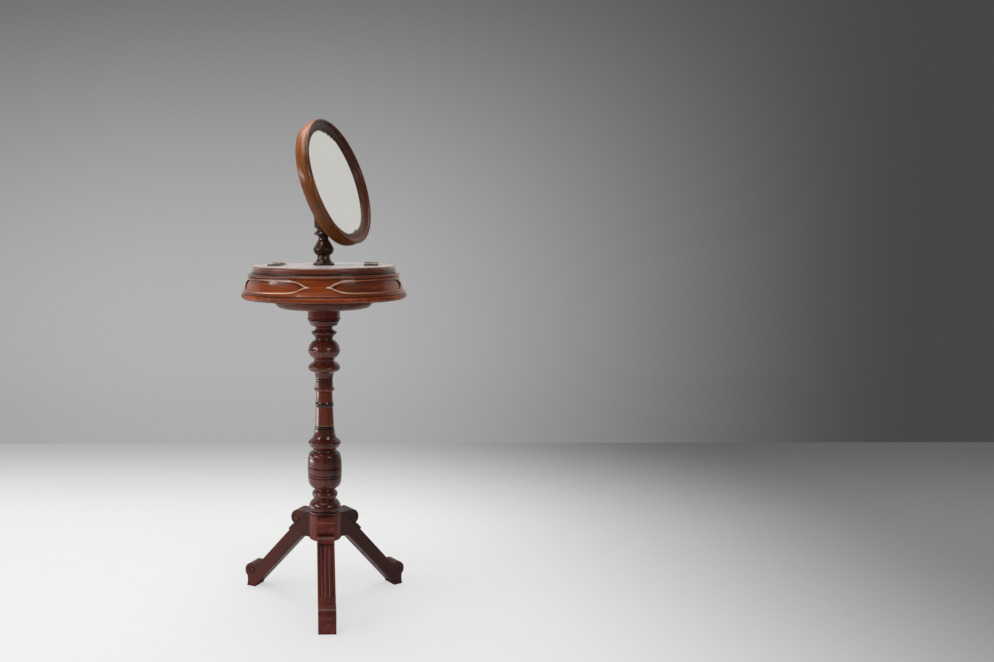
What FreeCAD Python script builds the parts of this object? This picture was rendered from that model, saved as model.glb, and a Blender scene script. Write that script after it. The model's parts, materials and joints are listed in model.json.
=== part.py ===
import FreeCAD, Part
import math
import os
import Sketcher

# Turned mahogany vanity stand: a round lidded table on a baluster column with
# three scroll legs, and a tilting round mirror on a swivelling, rising post.
# Millimetres, +Z up, origin on the floor under the column, front of the table to -Y.

SIZES = (
    # hub and legs
    ("leg_turn", 5.3, "how far the legs stand round from the table front, degrees"),
    ("leg_step", 120, "angle from one leg to the next"),
    ("leg_wide", 49, "thickness of each leg across its width"),
    ("hub_low", 183, "underside of the hub above the floor"),
    ("hub_tall", 74, "height of the hub"),
    ("hub_radius", 46.8, "radius of the hub"),
    ("hub_round", 4, "rounding under the hub"),
    ("joint_gap", 0.1, "clearance round a glued tenon"),
    ("dove_root", 18, "width of a leg's dovetail where it leaves the leg"),
    ("dove_tip", 24, "width of the dovetail at its end"),
    ("dove_deep", 16, "how far the dovetail goes into the hub"),
    ("dove_low", 5, "dovetail foot above the hub's underside"),
    ("dove_tall", 60, "height of the dovetail"),
    ("leg_top_in", 76, "height of the leg's top at the hub, above the hub's underside"),
    ("leg_lift", 3, "height of the leg's underside above the hub's, at the hub"),
    ("knee_out", 62, "where the underside turns down"),
    ("knee_end_out", 68, "where the straight underside begins, out"),
    ("knee_end_drop", 4, "where the straight underside begins, down"),
    ("heel_out", 229, "inner end of the foot"),
    ("heel_tall", 6, "height of the heel"),
    ("sole_in", 230.5, "inner end of the sole"),
    ("sole_out", 260, "outer end of the sole"),
    ("ankle_out", 258, "ankle under the foot scroll"),
    ("ankle_tall", 31, "height of the ankle"),
    ("instep_out", 225, "where the leg's upper face meets the foot scroll"),
    ("instep_tall", 66, "height of that meeting"),
    ("lip_root_out", 107, "top end of the leg's upper face, out"),
    ("lip_root_high", 14, "top end of the upper face, above the hub's underside"),
    ("lip_out", 110, "lip under the upper scroll, out"),
    ("lip_high", 17, "lip under the upper scroll, above the hub's underside"),
    ("notch_out", 91, "notch under the upper scroll, out"),
    ("notch_high", 36.5, "notch under the upper scroll, above the hub's underside"),
    ("roll_top_out", 78.5, "crown of the upper scroll, out"),
    ("roll_top_high", 78.3, "crown of the upper scroll, above the hub's underside"),
    ("eye_out", 84, "upper scroll's eye, out"),
    ("eye_high", 49.6, "upper scroll's eye, above the hub's underside"),
    ("eye_radius", 10.2, "radius of the upper scroll's eye"),
    ("foot_eye_out", 241, "foot scroll's eye, out"),
    ("foot_eye_tall", 51, "height of the foot scroll's eye"),
    ("foot_eye_radius", 8.2, "radius of the foot scroll's eye"),
    ("eye_cut", 3, "width of the cut round an eye"),
    ("eye_deep", 1.8, "depth of the cut round an eye"),
    ("reed_wide", 12.5, "width of one reed on the leg"),
    ("reed_deep", 3, "depth of the reeded panel"),
    ("reed_start", 4, "top margin of the reeded panel"),
    ("reed_long", 148, "length of the reeded panel"),
    ("reed_above", 8, "height of the cutter above the leg's face"),
    # column joints and bore
    ("tenon_radius", 18, "radius of the column's lower tenon"),
    ("tenon_tall", 40, "length of the column's lower tenon"),
    ("neck_tenon_radius", 30, "radius of the column's upper tenon"),
    ("neck_tenon_tall", 22, "length of the column's upper tenon"),
    ("socket_spare", 0.5, "spare depth under a tenon"),
    ("rod_radius", 12, "radius of the rising rod"),
    ("rod_fit", 0.05, "radial running clearance of the rod"),
    ("rod_free", 0.4, "radial clearance of the rod in the table"),
    ("rod_long", 420, "length of the thick part of the rod"),
    ("bore_spare", 10, "space under the rod in the bore"),
    # table
    ("disc_tall", 28, "height of the disc under the table"),
    ("disc_radius", 144, "radius of the disc at its top"),
    ("disc_low_radius", 121, "radius of the disc at its underside"),
    ("disc_edge", 5, "straight edge at the top of the disc"),
    ("board_tall", 16, "thickness of the bottom board"),
    ("board_radius", 230, "radius of the bottom board inside its rounded edge"),
    ("frieze_tall", 58, "height of the frieze"),
    ("frieze_inner", 196, "inner radius of the frieze"),
    ("frieze_foot", 233, "radius of the frieze at its foot"),
    ("frieze_fillet", 3, "height of the fillet at the foot of the frieze"),
    ("frieze_face_tall", 46, "height where the hollow face ends"),
    ("frieze_neck", 214, "radius at the top of the hollow face"),
    ("bead_low", 47.2, "lower edge of the bead above the frieze foot"),
    ("bead_tall", 8.5, "height of the bead"),
    ("bead_seat", 212.6, "radius the bead springs from"),
    ("frieze_rim", 206, "radius of the frieze at its top"),
    ("panel_count", 4, "carved panels round the frieze"),
    ("panel_half", 138.8, "half length of a carved panel"),
    ("panel_mid", 26.5, "height of the panels' middle above the frieze foot"),
    ("panel_spring", 92, "where the panel's side turns in to its point"),
    ("panel_spring_rise", 15.2, "half height there"),
    ("panel_tip", 12, "length of the hollow tip of a panel"),
    ("panel_tip_rise", 2.6, "half height at the root of the tip"),
    ("panel_bead", 4, "width of the raised bead round a panel"),
    ("panel_bead_proud", 1.7, "how far that bead stands out"),
    ("panel_sunk", 1.6, "depth of the panel's field"),
    # lids, bridge and wells
    ("past", 40, "how far a cutting outline runs past the wood"),
    ("lid_tall", 18.4, "thickness of the lids and the bridge"),
    ("lid_gap", 0.3, "gap under a closed lid"),
    ("lid_radius", 201, "radius of the flat top"),
    ("lid_edge", 206, "widest radius of the lid's moulded edge"),
    ("lid_foot", 202.5, "radius under the moulded edge"),
    ("lid_ovolo", 9, "height of the rounded part of the edge"),
    ("lid_fillet", 5.4, "height of the straight part of the edge"),
    ("bridge_half", 42.5, "half width of the bridge, to the hinge line"),
    ("seam", 0.4, "half the seam between a lid and the bridge"),
    ("wall_thick", 10, "thickness of the wells' straight walls"),
    # butt hinges
    ("hinge_out", 135, "middle of a hinge from the middle of the table"),
    ("hinge_long", 38, "length of a hinge"),
    ("knuckle_radius", 3.6, "radius of a hinge knuckle"),
    ("knuckle_lift", 0.3, "clearance under the knuckles"),
    ("knuckle_long", 16, "length of the lid leaf's knuckle"),
    ("knuckle_gap", 0.2, "gap between knuckles"),
    ("leaf_wide", 20, "width of a hinge leaf from the hinge line"),
    ("leaf_thick", 2, "thickness of a hinge leaf"),
    ("hinge_pin_radius", 1.5, "radius of a hinge pin"),
    ("pin_fit", 0.05, "radial running clearance on a pin"),
    # clamp screw behind the column
    ("clamp_drop", 17, "clamp screw below the top of the column"),
    ("clamp_radius", 4, "radius of the clamp screw"),
    ("clamp_tip_gap", 0.15, "gap from the screw's tip to the rod"),
    ("clamp_neck_long", 6, "bare screw outside the column"),
    ("clamp_collar_radius", 8, "radius of the thumb screw's collar"),
    ("clamp_collar_long", 4, "length of the collar"),
    ("wing_wide", 22, "width of a thumb screw's wing"),
    ("wing_thick", 4, "thickness of the wing"),
    ("wing_long", 14, "length of the wing"),
    # mirror post
    ("post_gap", 0.3, "gap between the post and the bridge"),
    ("spigot_radius", 7, "radius of the rod's spigot in the post"),
    ("spigot_long", 95, "length of that spigot"),
    ("thrust_gap", 0.1, "gap at the spigot's shoulder"),
    ("pivot_high", 219.3, "tilt axis above the flat top"),
    ("ball_radius", 20, "radius of the forked ball at the top of the post"),
    ("cheek_out", 15, "outer flats of the fork from its middle"),
    ("slot_half", 6.2, "half width of the fork's slot"),
    ("slot_drop", 14.5, "depth of the slot under the tilt axis"),
    ("pin_radius", 4, "radius of the tilt pin"),
    ("pin_head_radius", 8, "radius of the tilt pin's head"),
    ("pin_head_long", 3.5, "thickness of the tilt pin's head"),
    ("pin_tail", 11, "length of the tilt pin outside the fork"),
    ("nut_radius", 9, "radius of the wing nut"),
    ("nut_long", 6, "thickness of the wing nut"),
    # mirror
    ("mirror_turn", 69.2, "turn of the mirror from the front, degrees"),
    ("mirror_lean", 17.2, "lean of the mirror back from upright, degrees"),
    ("frame_front", 57.5, "front of the mirror frame from the tilt axis"),
    ("frame_deep", 41, "depth of the mirror frame"),
    ("frame_radius", 181, "outer radius of the mirror frame"),
    ("sight_radius", 151.5, "radius of the opening in the frame"),
    ("rebate_radius", 156, "radius of the rebate behind it"),
    ("rebate_front", 15.5, "start of the rebate behind the frame's front"),
    ("sight_lip", 1.2, "thickness of the sight edge"),
    ("glass_thick", 4, "thickness of the glass"),
    ("glass_gap", 0.1, "gap round and behind the glass"),
    ("back_thick", 12, "thickness of the backboard"),
    ("plate_long", 64, "height of the brass plate on the backboard"),
    ("plate_wide", 44, "width of the brass plate"),
    ("plate_thick", 3, "thickness of the brass plate"),
    ("plate_bow", 10, "height of the curved ends of the brass plate"),
    ("tongue_thick", 12, "thickness of the tongue in the fork"),
    ("tongue_high", 18, "height of the tongue"),
    ("tongue_radius", 13, "radius of the tongue's eye"),
)

# Turned members, from the bottom up: name, radius at its top, height, fullness.
# Fullness is the rise of the curve over its chord: above 0 swells, below 0 is hollow.
COLUMN = (
    ("foot_bead", 44, 10.5, 0.28),
    ("foot_quirk", 41.5, 1.5, 0),
    ("foot_fillet", 45.5, 1.5, 0),
    ("foot_ovolo", 33, 28.5, 0.17),
    ("ovolo_neck", 30, 4, -0.2),
    ("low_bead", 29.5, 24, 0.3),
    ("low_neck", 27.5, 5, -0.1),
    ("barrel_foot", 47.8, 22, 0.17),
    ("barrel_low", 48.8, 12.2, 0),
    ("barrel_groove_in", 46.8, 1.8, 0),
    ("barrel_groove_out", 49, 1.8, 0),
    ("barrel_ring", 49.2, 3.6, 0),
    ("ring_groove_in", 47.2, 1.8, 0),
    ("ring_groove_out", 49.3, 1.8, 0),
    ("barrel_belly", 49.4, 17.4, 0.02),
    ("belly_groove_in", 46.9, 1.8, 0),
    ("belly_groove_out", 49.4, 1.8, 0),
    ("barrel_high", 49, 12, 0),
    ("barrel_crown", 47.8, 13.8, 0.02),
    ("barrel_step_in", 46, 1.6, 0),
    ("barrel_step_out", 46.8, 1.6, 0),
    ("barrel_head", 33.4, 16.4, 0.17),
    ("knop_neck", 34, 6, -0.15),
    ("knop_foot", 45.5, 14, 0.1),
    ("knop_edge", 45.5, 9, 0.24),
    ("knop_head", 34.5, 9.5, 0),
    ("vase_foot", 29.2, 26, -0.05),
    ("vase_groove_in", 26.2, 1.8, 0),
    ("vase_groove_out", 28, 1.8, 0),
    ("vase_ring", 27.8, 3, 0),
    ("vase_high_groove_in", 25.6, 1.8, 0),
    ("vase_high_groove_out", 27.5, 1.8, 0),
    ("shaft", 25, 54, 0),
    ("band", 25, 15, 0.11),
    ("waist", 23.6, 31, -0.01),
    ("small_fillet", 25.5, 1, 0),
    ("small_ring", 25.5, 9.4, 0.47),
    ("upper_shaft", 25, 16.6, 0),
    ("upper_groove_in", 23.2, 1.8, 0),
    ("upper_groove_out", 25.2, 1.8, 0),
    ("upper_ring", 25.2, 3, 0),
    ("collar_groove_in", 23.4, 1.8, 0),
    ("collar_groove_out", 25.4, 1.8, 0),
    ("collar_flare", 29, 16, -0.06),
    ("disc_cove", 39.5, 5, -0.12),
    ("disc_swell", 45, 6, 0.12),
    ("disc_rim", 45, 9, 0.16),
    ("disc_slope", 35, 10, 0.06),
    ("bulb_neck", 29, 6, -0.12),
    ("bulb_cove", 36.5, 9, -0.14),
    ("bulb_low", 46, 17, 0.06),
    ("bulb_rim", 45.6, 5, 0.14),
    ("bulb_high", 33, 25, 0.09),
    ("saucer_neck", 25.2, 8, -0.2),
    ("saucer_low", 35.4, 12, -0.05),
    ("saucer_rim", 34, 8, 0.26),
    ("saucer_high", 24.6, 6, -0.05),
    ("cup_neck", 24.6, 2.5, 0),
    ("cup_cove", 33.5, 6.5, -0.2),
    ("cup_bead", 41, 9, 0.2),
    ("cup_quirk", 42, 1.5, 0),
    ("cup_ring", 42.5, 7.5, 0.3),
    ("lip_under", 48.2, 1, 0),
    ("lip", 48.2, 3, 0),
    ("drum_quirk", 46.4, 1.2, 0),
    ("drum", 46.8, 28.5, 0),
)

POST = (
    ("sole_bead", 29.6, 6, 0.2),
    ("bell", 18.4, 19.5, -0.16),
    ("bell_neck", 18.4, 3, -0.1),
    ("pear_low", 29, 13, 0.12),
    ("pear_mid", 29, 7, 0.13),
    ("pear_high", 14.6, 24, 0.02),
    ("slim_neck", 14.6, 7.5, -0.05),
    ("leaf_low", 27.4, 6.5, -0.06),
    ("leaf_edge", 27.4, 2.6, 0.4),
    ("leaf_high", 19.4, 8.4, 0.08),
    ("cap_neck", 19.4, 4, -0.15),
    ("cap_low", 26.4, 4.5, -0.1),
    ("cap_drum", 27.2, 36, 0),
    ("cap_round", 19, 7, 0.2),
    ("stem_foot", 14, 8, -0.2),
    ("stem", 13, 40, 0),
)


def turned_sizes(members, title):
    rows = []
    for name, radius, tall, fullness in members:
        rows.append((name + "_radius", radius, title + ", radius at the top of this member"))
        rows.append((name + "_tall", tall, title + ", height of this member"))
    return rows


doc = FreeCAD.newDocument("vanity_stand")
sheet = doc.addObject("Spreadsheet::Sheet", "Dims")
size = {}
pieces = []


def fill_sheet(rows):
    for line, (name, value, meaning) in enumerate(rows, 1):
        cell = "B%d" % line
        sheet.set("A%d" % line, meaning)
        sheet.set(cell, str(value))
        sheet.setAlias(cell, name)
        size[name] = float(value)
    doc.recompute()


# A length is written as words with + and - between them; word/2 is half of it.
def terms(text):
    sign = 1
    found = []
    for word in text.split():
        if word in ("+", "-"):
            sign = 1 if word == "+" else -1
            continue
        name, slash, divisor = word.partition("/")
        found.append((sign, name, float(divisor or 1)))
        sign = 1
    return found


def amount(text):
    total = 0.0
    for sign, name, divisor in terms(text):
        value = size[name] if name in size else float(name)
        total += sign * value / divisor
    return total


def formula(text):
    words = []
    for sign, name, divisor in terms(text):
        word = "Dims." + name if name in size else name
        if divisor != 1:
            word += " / %g" % divisor
        words.append(("+ " if sign > 0 else "- ") + word)
    joined = " ".join(words)
    return joined[2:] if joined.startswith("+ ") else joined


# The same length with every sign turned round.
def flip(text):
    return "- " + text.replace("+", "#").replace("-", "+").replace("#", "-")


def rise(members, last=None):
    names = []
    for member in members:
        names.append(member[0] + "_tall")
        if member[0] == last:
            break
    return " + ".join(names)


fill_sheet(list(SIZES) + turned_sizes(COLUMN, "column") + turned_sizes(POST, "post"))

LEG_FRONT = "leg_turn - 90"
HUB_TOP = "hub_low + hub_tall"
COLUMN_TOP = HUB_TOP + " + " + rise(COLUMN)
DISC_TOP = COLUMN_TOP + " + disc_tall"
BOARD_TOP = DISC_TOP + " + board_tall"
FRIEZE_TOP = BOARD_TOP + " + frieze_tall"
LID_LOW = FRIEZE_TOP + " + lid_gap"
TABLE_TOP = LID_LOW + " + lid_tall"
POST_LOW = TABLE_TOP + " + post_gap"
PIVOT = TABLE_TOP + " + pivot_high"


# ---- small tools for bodies and sketches ----

def new_body(label):
    body = doc.addObject("PartDesign::Body", label)
    body.Label = label
    pieces.append(body)
    return body


def place(body, across="0", along="0", up="0", turn="0", lean="0"):
    spot = "vector(%s; %s; %s)" % (formula(across), formula(along), formula(up))
    body.setExpression("Placement", "placement(%s; rotation(%s; 0; %s))" % (
        spot, formula(turn), formula(lean)))


def origin_plane(body, role):
    for item in body.Origin.OriginFeatures:
        if item.Role == role:
            return item
    raise ValueError(role)


def new_sketch(body, role, name, lift=None):
    sketch = body.newObject("Sketcher::SketchObject", body.Name + "_" + name)
    sketch.AttachmentSupport = [(origin_plane(body, role), "")]
    sketch.MapMode = "FlatFace"
    if lift:
        sketch.setExpression("AttachmentOffset.Base.z", formula(lift))
    return sketch


def fix(sketch, kind, geometry, end, text):
    value = amount(text)
    line = -2 if kind == "DistanceX" else -1
    if text == "0":
        sketch.addConstraint(Sketcher.Constraint("PointOnObject", geometry, end, line))
        return
    row = sketch.addConstraint(Sketcher.Constraint(kind, -1, 1, geometry, end, value))
    sketch.setExpression("Constraints[%d]" % row, formula(text))


def curve(start, end, fullness):
    chord = end - start
    middle = (start + end) / 2
    right = FreeCAD.Vector(chord.y, -chord.x, 0).normalize()
    radius = chord.Length * (0.25 + fullness ** 2) / (2 * abs(fullness))
    centre = middle + right * (fullness * chord.Length - math.copysign(radius, fullness))
    first, last = (start, end) if fullness > 0 else (end, start)
    begin = math.atan2(first.y - centre.y, first.x - centre.x)
    finish = math.atan2(last.y - centre.y, last.x - centre.x)
    if finish <= begin:
        finish += 2 * math.pi
    ring = Part.Circle(centre, FreeCAD.Vector(0, 0, 1), radius)
    return Part.ArcOfCircle(ring, begin, finish)


# Closed outline: each corner is (across, up, fullness of the side that leads to it).
def outline(sketch, corners):
    spots = [FreeCAD.Vector(amount(c[0]), amount(c[1]), 0) for c in corners]
    first = sketch.GeometryCount
    ends = []
    for number, corner in enumerate(corners):
        start = spots[number - 1]
        end = spots[number]
        fullness = corner[2] if len(corner) > 2 else 0
        if fullness:
            sketch.addGeometry(curve(start, end, fullness), False)
            ends.append((1, 2) if fullness > 0 else (2, 1))
        else:
            sketch.addGeometry(Part.LineSegment(start, end), False)
            ends.append((1, 2))
    for number, corner in enumerate(corners):
        after = (number + 1) % len(corners)
        join = Sketcher.Constraint("Coincident", first + number, ends[number][1],
                                   first + after, ends[after][0])
        sketch.addConstraint(join)
        fix(sketch, "DistanceX", first + number, ends[number][1], corner[0])
        fix(sketch, "DistanceY", first + number, ends[number][1], corner[1])
        if len(corner) > 2 and corner[2]:
            bend_rule(sketch, first + number, corners[number - 1], corner)


def bend_rule(sketch, geometry, before, corner):
    fullness = abs(corner[2])
    share = (0.25 + fullness ** 2) / (2 * fullness)
    wide = "(%s) - (%s)" % (formula(corner[0]), formula(before[0]))
    high = "(%s) - (%s)" % (formula(corner[1]), formula(before[1]))
    radius = sketch.Geometry[geometry].Radius
    row = sketch.addConstraint(Sketcher.Constraint("Radius", geometry, radius))
    rule = "%.9f * sqrt(pow(%s; 2) + pow(%s; 2))" % (share, wide, high)
    sketch.setExpression("Constraints[%d]" % row, rule)


def ring(sketch, across, up, radius):
    centre = FreeCAD.Vector(amount(across), amount(up), 0)
    circle = Part.Circle(centre, FreeCAD.Vector(0, 0, 1), amount(radius))
    number = sketch.addGeometry(circle, False)
    if across == "0" and up == "0":
        sketch.addConstraint(Sketcher.Constraint("Coincident", number, 3, -1, 1))
    else:
        fix(sketch, "DistanceX", number, 3, across)
        fix(sketch, "DistanceY", number, 3, up)
    row = sketch.addConstraint(Sketcher.Constraint("Radius", number, amount(radius)))
    sketch.setExpression("Constraints[%d]" % row, formula(radius))


def box_outline(sketch, left, right, low, high):
    outline(sketch, ((left, low), (right, low), (right, high), (left, high)))


def revolve(body, sketch, axis="V_Axis"):
    turned = body.newObject("PartDesign::Revolution", sketch.Name + "_turned")
    turned.Profile = sketch
    turned.ReferenceAxis = (sketch, [axis])
    turned.Angle = 360
    return turned


def pad(body, sketch, long, midplane=False, reverse=False):
    block = body.newObject("PartDesign::Pad", sketch.Name + "_pad")
    block.Profile = sketch
    block.setExpression("Length", formula(long))
    block.Midplane = midplane
    block.Reversed = reverse
    return block


def pocket(body, sketch, deep=None, midplane=False, reverse=False):
    cut = body.newObject("PartDesign::Pocket", sketch.Name + "_cut")
    cut.Profile = sketch
    if deep:
        cut.setExpression("Length", formula(deep))
    else:
        cut.Type = "ThroughAll"
    cut.Midplane = midplane
    cut.Reversed = reverse
    return cut


def turned_corners(members, start):
    corners = [("0", "0"), (start, "0")]
    for name, radius, tall, fullness in members:
        corners.append((name + "_radius", rise(members, name), fullness))
    corners.append(("0", rise(members)))
    return corners


# ---- hub, legs and column ----

def make_hub():
    body = new_body("hub")
    place(body, up="hub_low", turn=LEG_FRONT)
    sketch = new_sketch(body, "XZ_Plane", "side")
    outline(sketch, (("0", "0"), ("hub_radius - hub_round", "0"),
                     ("hub_radius", "hub_round", 0.2), ("hub_radius", "hub_tall"),
                     ("0", "hub_tall")))
    revolve(body, sketch)
    socket = new_sketch(body, "XY_Plane", "socket", "hub_tall")
    ring(socket, "0", "0", "tenon_radius + joint_gap")
    pocket(body, socket, "tenon_tall + socket_spare")
    slot = new_sketch(body, "XY_Plane", "slot")
    root = "dove_root/2 + joint_gap"
    tip = "dove_tip/2 + joint_gap"
    inner = "hub_radius - dove_deep - joint_gap"
    outer = "hub_radius + joint_gap"
    outline(slot, ((inner, flip(tip)), (outer, flip(root)), (outer, root), (inner, tip)))
    cut = pocket(body, slot, "dove_low + dove_tall + joint_gap", reverse=True)
    doc.recompute()
    spread = body.newObject("PartDesign::PolarPattern", "hub_slots")
    spread.Originals = [cut]
    spread.Axis = (slot, ["N_Axis"])
    spread.Angle = 360
    spread.Occurrences = 3
    body.Tip = spread


def make_leg(label, number):
    body = new_body(label)
    turn = LEG_FRONT
    for step in range(number):
        turn += " + leg_step"
    place(body, turn=turn)
    side = new_sketch(body, "XZ_Plane", "side")
    inner = "hub_radius - 14"
    base = "hub_low + leg_lift"
    outline(side, (
        (inner, base), ("knee_out", base), ("knee_end_out", base + " - knee_end_drop", 0.1),
        ("heel_out", "heel_tall"), ("sole_in", "0"), ("sole_out", "0"),
        ("ankle_out", "ankle_tall", -0.06), ("instep_out", "instep_tall", 0.49),
        ("lip_root_out", "hub_low + lip_root_high"), ("lip_out", "hub_low + lip_high"),
        ("notch_out", "hub_low + notch_high", 0.06),
        ("roll_top_out", "hub_low + roll_top_high", 0.35),
        (inner, "hub_low + leg_top_in", -0.02)))
    pad(body, side, "leg_wide", midplane=True)
    cope = new_sketch(body, "XY_Plane", "cope")
    ring(cope, "0", "0", "hub_radius + rod_fit")
    pocket(body, cope, midplane=True)
    tenon = new_sketch(body, "XY_Plane", "dovetail", "hub_low + dove_low")
    root = "dove_root/2"
    tip = "dove_tip/2"
    inner = "hub_radius - dove_deep"
    outer = "hub_radius + 4"
    outline(tenon, ((inner, flip(tip)), ("hub_radius", flip(root)), (outer, flip(root)),
                    (outer, root), ("hub_radius", root), (inner, tip)))
    pad(body, tenon, "dove_tall")
    cut_eyes(body)
    cut_reeds(body)


def cut_eyes(body):
    eyes = new_sketch(body, "XZ_Plane", "eyes", "leg_wide/2")
    ring(eyes, "eye_out", "hub_low + eye_high", "eye_radius")
    ring(eyes, "eye_out", "hub_low + eye_high", "eye_radius + eye_cut")
    ring(eyes, "foot_eye_out", "foot_eye_tall", "foot_eye_radius")
    ring(eyes, "foot_eye_out", "foot_eye_tall", "foot_eye_radius + eye_cut")
    cut = pocket(body, eyes, "eye_deep")
    doc.recompute()
    mirrored = body.newObject("PartDesign::Mirrored", body.Name + "_eyes_both")
    mirrored.Originals = [cut]
    mirrored.MirrorPlane = (origin_plane(body, "XZ_Plane"), [""])
    body.Tip = mirrored


# Three reeds in a sunk panel down the sloping upper face of the leg.
def cut_reeds(body):
    reeds = new_sketch(body, "YZ_Plane", "reeds")
    fall = formula("hub_low + lip_root_high - instep_tall")
    slope = "atan2(%s; %s)" % (fall, formula("instep_out - lip_root_out"))
    up = "%s - Dims.reed_start * sin(%s)" % (formula("hub_low + lip_root_high"), slope)
    out = "%s + Dims.reed_start * cos(%s)" % (formula("lip_root_out"), slope)
    spot = "vector(0; %s; %s)" % (up, out)
    reeds.setExpression("AttachmentOffset", "placement(%s; rotation(0; 0; %s))" % (spot, slope))
    left = "- reed_wide - reed_wide/2"
    edge = left
    corners = [(left, "reed_above"), (left, "- reed_deep")]
    for reed in range(3):
        edge = edge + " + reed_wide"
        corners.append((edge, "- reed_deep", -0.2))
    corners.append((edge, "reed_above"))
    outline(reeds, corners)
    pocket(body, reeds, "reed_long", reverse=True)


def make_column():
    body = new_body("column")
    place(body, up=HUB_TOP)
    side = new_sketch(body, "XZ_Plane", "side")
    outline(side, turned_corners(COLUMN, "foot_bead_radius"))
    revolve(body, side)
    low = new_sketch(body, "XY_Plane", "tenon")
    ring(low, "0", "0", "tenon_radius")
    pad(body, low, "tenon_tall", reverse=True)
    high = new_sketch(body, "XY_Plane", "neck_tenon", rise(COLUMN))
    ring(high, "0", "0", "neck_tenon_radius")
    pad(body, high, "neck_tenon_tall")
    bore = new_sketch(body, "XY_Plane", "bore", rise(COLUMN) + " + neck_tenon_tall")
    ring(bore, "0", "0", "rod_radius + rod_fit")
    top = "disc_tall + board_tall + frieze_tall + lid_gap + lid_tall + post_gap"
    pocket(body, bore, "rod_long + bore_spare + neck_tenon_tall + thrust_gap - " +
           top.replace("+", "-"))
    hole = new_sketch(body, "XZ_Plane", "clamp_hole")
    ring(hole, "0", rise(COLUMN) + " - clamp_drop", "clamp_radius + pin_fit")
    pocket(body, hole)


# ---- table ----

def make_mount_disc():
    body = new_body("mount_disc")
    place(body, up=COLUMN_TOP)
    side = new_sketch(body, "XZ_Plane", "side")
    inner = "neck_tenon_radius + joint_gap"
    ledge = "neck_tenon_tall + socket_spare"
    hole = "rod_radius + rod_free"
    outline(side, ((inner, "0"), ("disc_low_radius", "0"),
                   ("disc_radius - 3", "disc_tall - disc_edge - 3", 0.16),
                   ("disc_radius - 3", "disc_tall - disc_edge"),
                   ("disc_radius", "disc_tall - disc_edge"), ("disc_radius", "disc_tall"),
                   (hole, "disc_tall"), (hole, ledge), (inner, ledge)))
    revolve(body, side)


def make_base_board():
    body = new_body("base_board")
    place(body, up=DISC_TOP)
    side = new_sketch(body, "XZ_Plane", "side")
    hole = "rod_radius + rod_free"
    outline(side, ((hole, "0"), ("board_radius - 3", "0"), ("board_radius - 3", "2"),
                   ("board_radius - 1", "2"), ("board_radius", "board_tall", 0.44),
                   (hole, "board_tall")))
    revolve(body, side)


def frieze_face(grow):
    return (("frieze_foot" + grow, "0"), ("frieze_foot" + grow, "frieze_fillet"),
            ("frieze_neck" + grow, "frieze_face_tall", -0.056))


def make_frieze_blank():
    side = loose_sketch("frieze_side", 0)
    top = "bead_low + bead_tall"
    outline(side, (("frieze_inner", "0"),) + frieze_face("") + (
        ("bead_seat", "bead_low"), ("bead_seat", top, 0.45), ("frieze_rim", top),
        ("frieze_rim", "frieze_tall"), ("frieze_inner", "frieze_tall")))
    return spin(side, "frieze_blank")


def loose_sketch(name, turn):
    sketch = doc.addObject("Sketcher::SketchObject", name)
    upright = FreeCAD.Rotation(FreeCAD.Vector(1, 0, 0), 90)
    about = FreeCAD.Rotation(FreeCAD.Vector(0, 0, 1), turn)
    sketch.Placement = FreeCAD.Placement(FreeCAD.Vector(0, 0, 0), about.multiply(upright))
    return sketch


def spin(sketch, name):
    turned = doc.addObject("Part::Revolution", name)
    turned.Source = sketch
    turned.Axis = FreeCAD.Vector(0, 0, 1)
    turned.Angle = 360
    turned.Solid = True
    return turned


# A shell that follows the hollow face of the frieze between two depths.
def face_shell(name, inner, outer):
    sketch = loose_sketch(name + "_side", 0)
    outline(sketch, (("frieze_foot" + outer, "0"),
                     ("frieze_neck" + outer, "frieze_face_tall", -0.056),
                     ("frieze_neck" + inner, "frieze_face_tall"),
                     ("frieze_foot" + inner, "0", 0.056)))
    return spin(sketch, name)


# A pointed panel outline, symmetrical both ways, let out or in by grow.
def lancet(sketch, grow):
    point = "panel_half" + grow
    root = point + " - panel_tip"
    spring = "panel_spring"
    tip_rise = "panel_tip_rise" + grow
    rise_here = "panel_spring_rise" + grow
    high = "panel_mid + " + rise_here
    low = "panel_mid " + flip(rise_here)
    near = "panel_mid + " + tip_rise
    under = "panel_mid " + flip(tip_rise)
    crown = 0.0098
    outline(sketch, (
        (point, "panel_mid", -0.06), (root, near, -0.06), (spring, high, 0.08),
        (flip(spring), high, crown), (flip(root), near, 0.08),
        (flip(point), "panel_mid", -0.06), (flip(root), under, -0.06),
        (flip(spring), low, 0.08), (spring, low, crown), (root, under, 0.08)))


def panel_block(name, number, grow):
    turn = 45 + 360.0 / size["panel_count"] * number
    sketch = loose_sketch(name + "_line%d" % number, turn)
    lancet(sketch, grow)
    block = doc.addObject("Part::Extrusion", name + "_block%d" % number)
    block.Base = sketch
    block.DirMode = "Normal"
    block.setExpression("LengthFwd", formula("frieze_foot + past"))
    block.Solid = True
    return block


def pair(kind, name, base, tool):
    result = doc.addObject("Part::" + kind, name)
    result.Base = base
    result.Tool = tool
    return result


def make_frieze():
    blank = make_frieze_blank()
    proud = face_shell("bead_shell", "", " + panel_bead_proud")
    sunk = face_shell("field_shell", " - panel_sunk", " + panel_bead_proud")
    for number in range(int(size["panel_count"])):
        outer = panel_block("bead_outer", number, " + panel_bead/2")
        inner = panel_block("bead_inner", number, " - panel_bead/2")
        rim = pair("Cut", "rim%d" % number, outer, inner)
        bead = pair("Common", "bead%d" % number, proud, rim)
        field = pair("Common", "field%d" % number, sunk, inner)
        blank = pair("Fuse", "beaded%d" % number, blank, bead)
        blank = pair("Cut", "sunk%d" % number, blank, field)
    blank.Label = "frieze_ring"
    blank.setExpression("Placement.Base.z", formula(BOARD_TOP))
    pieces.append(blank)


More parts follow.
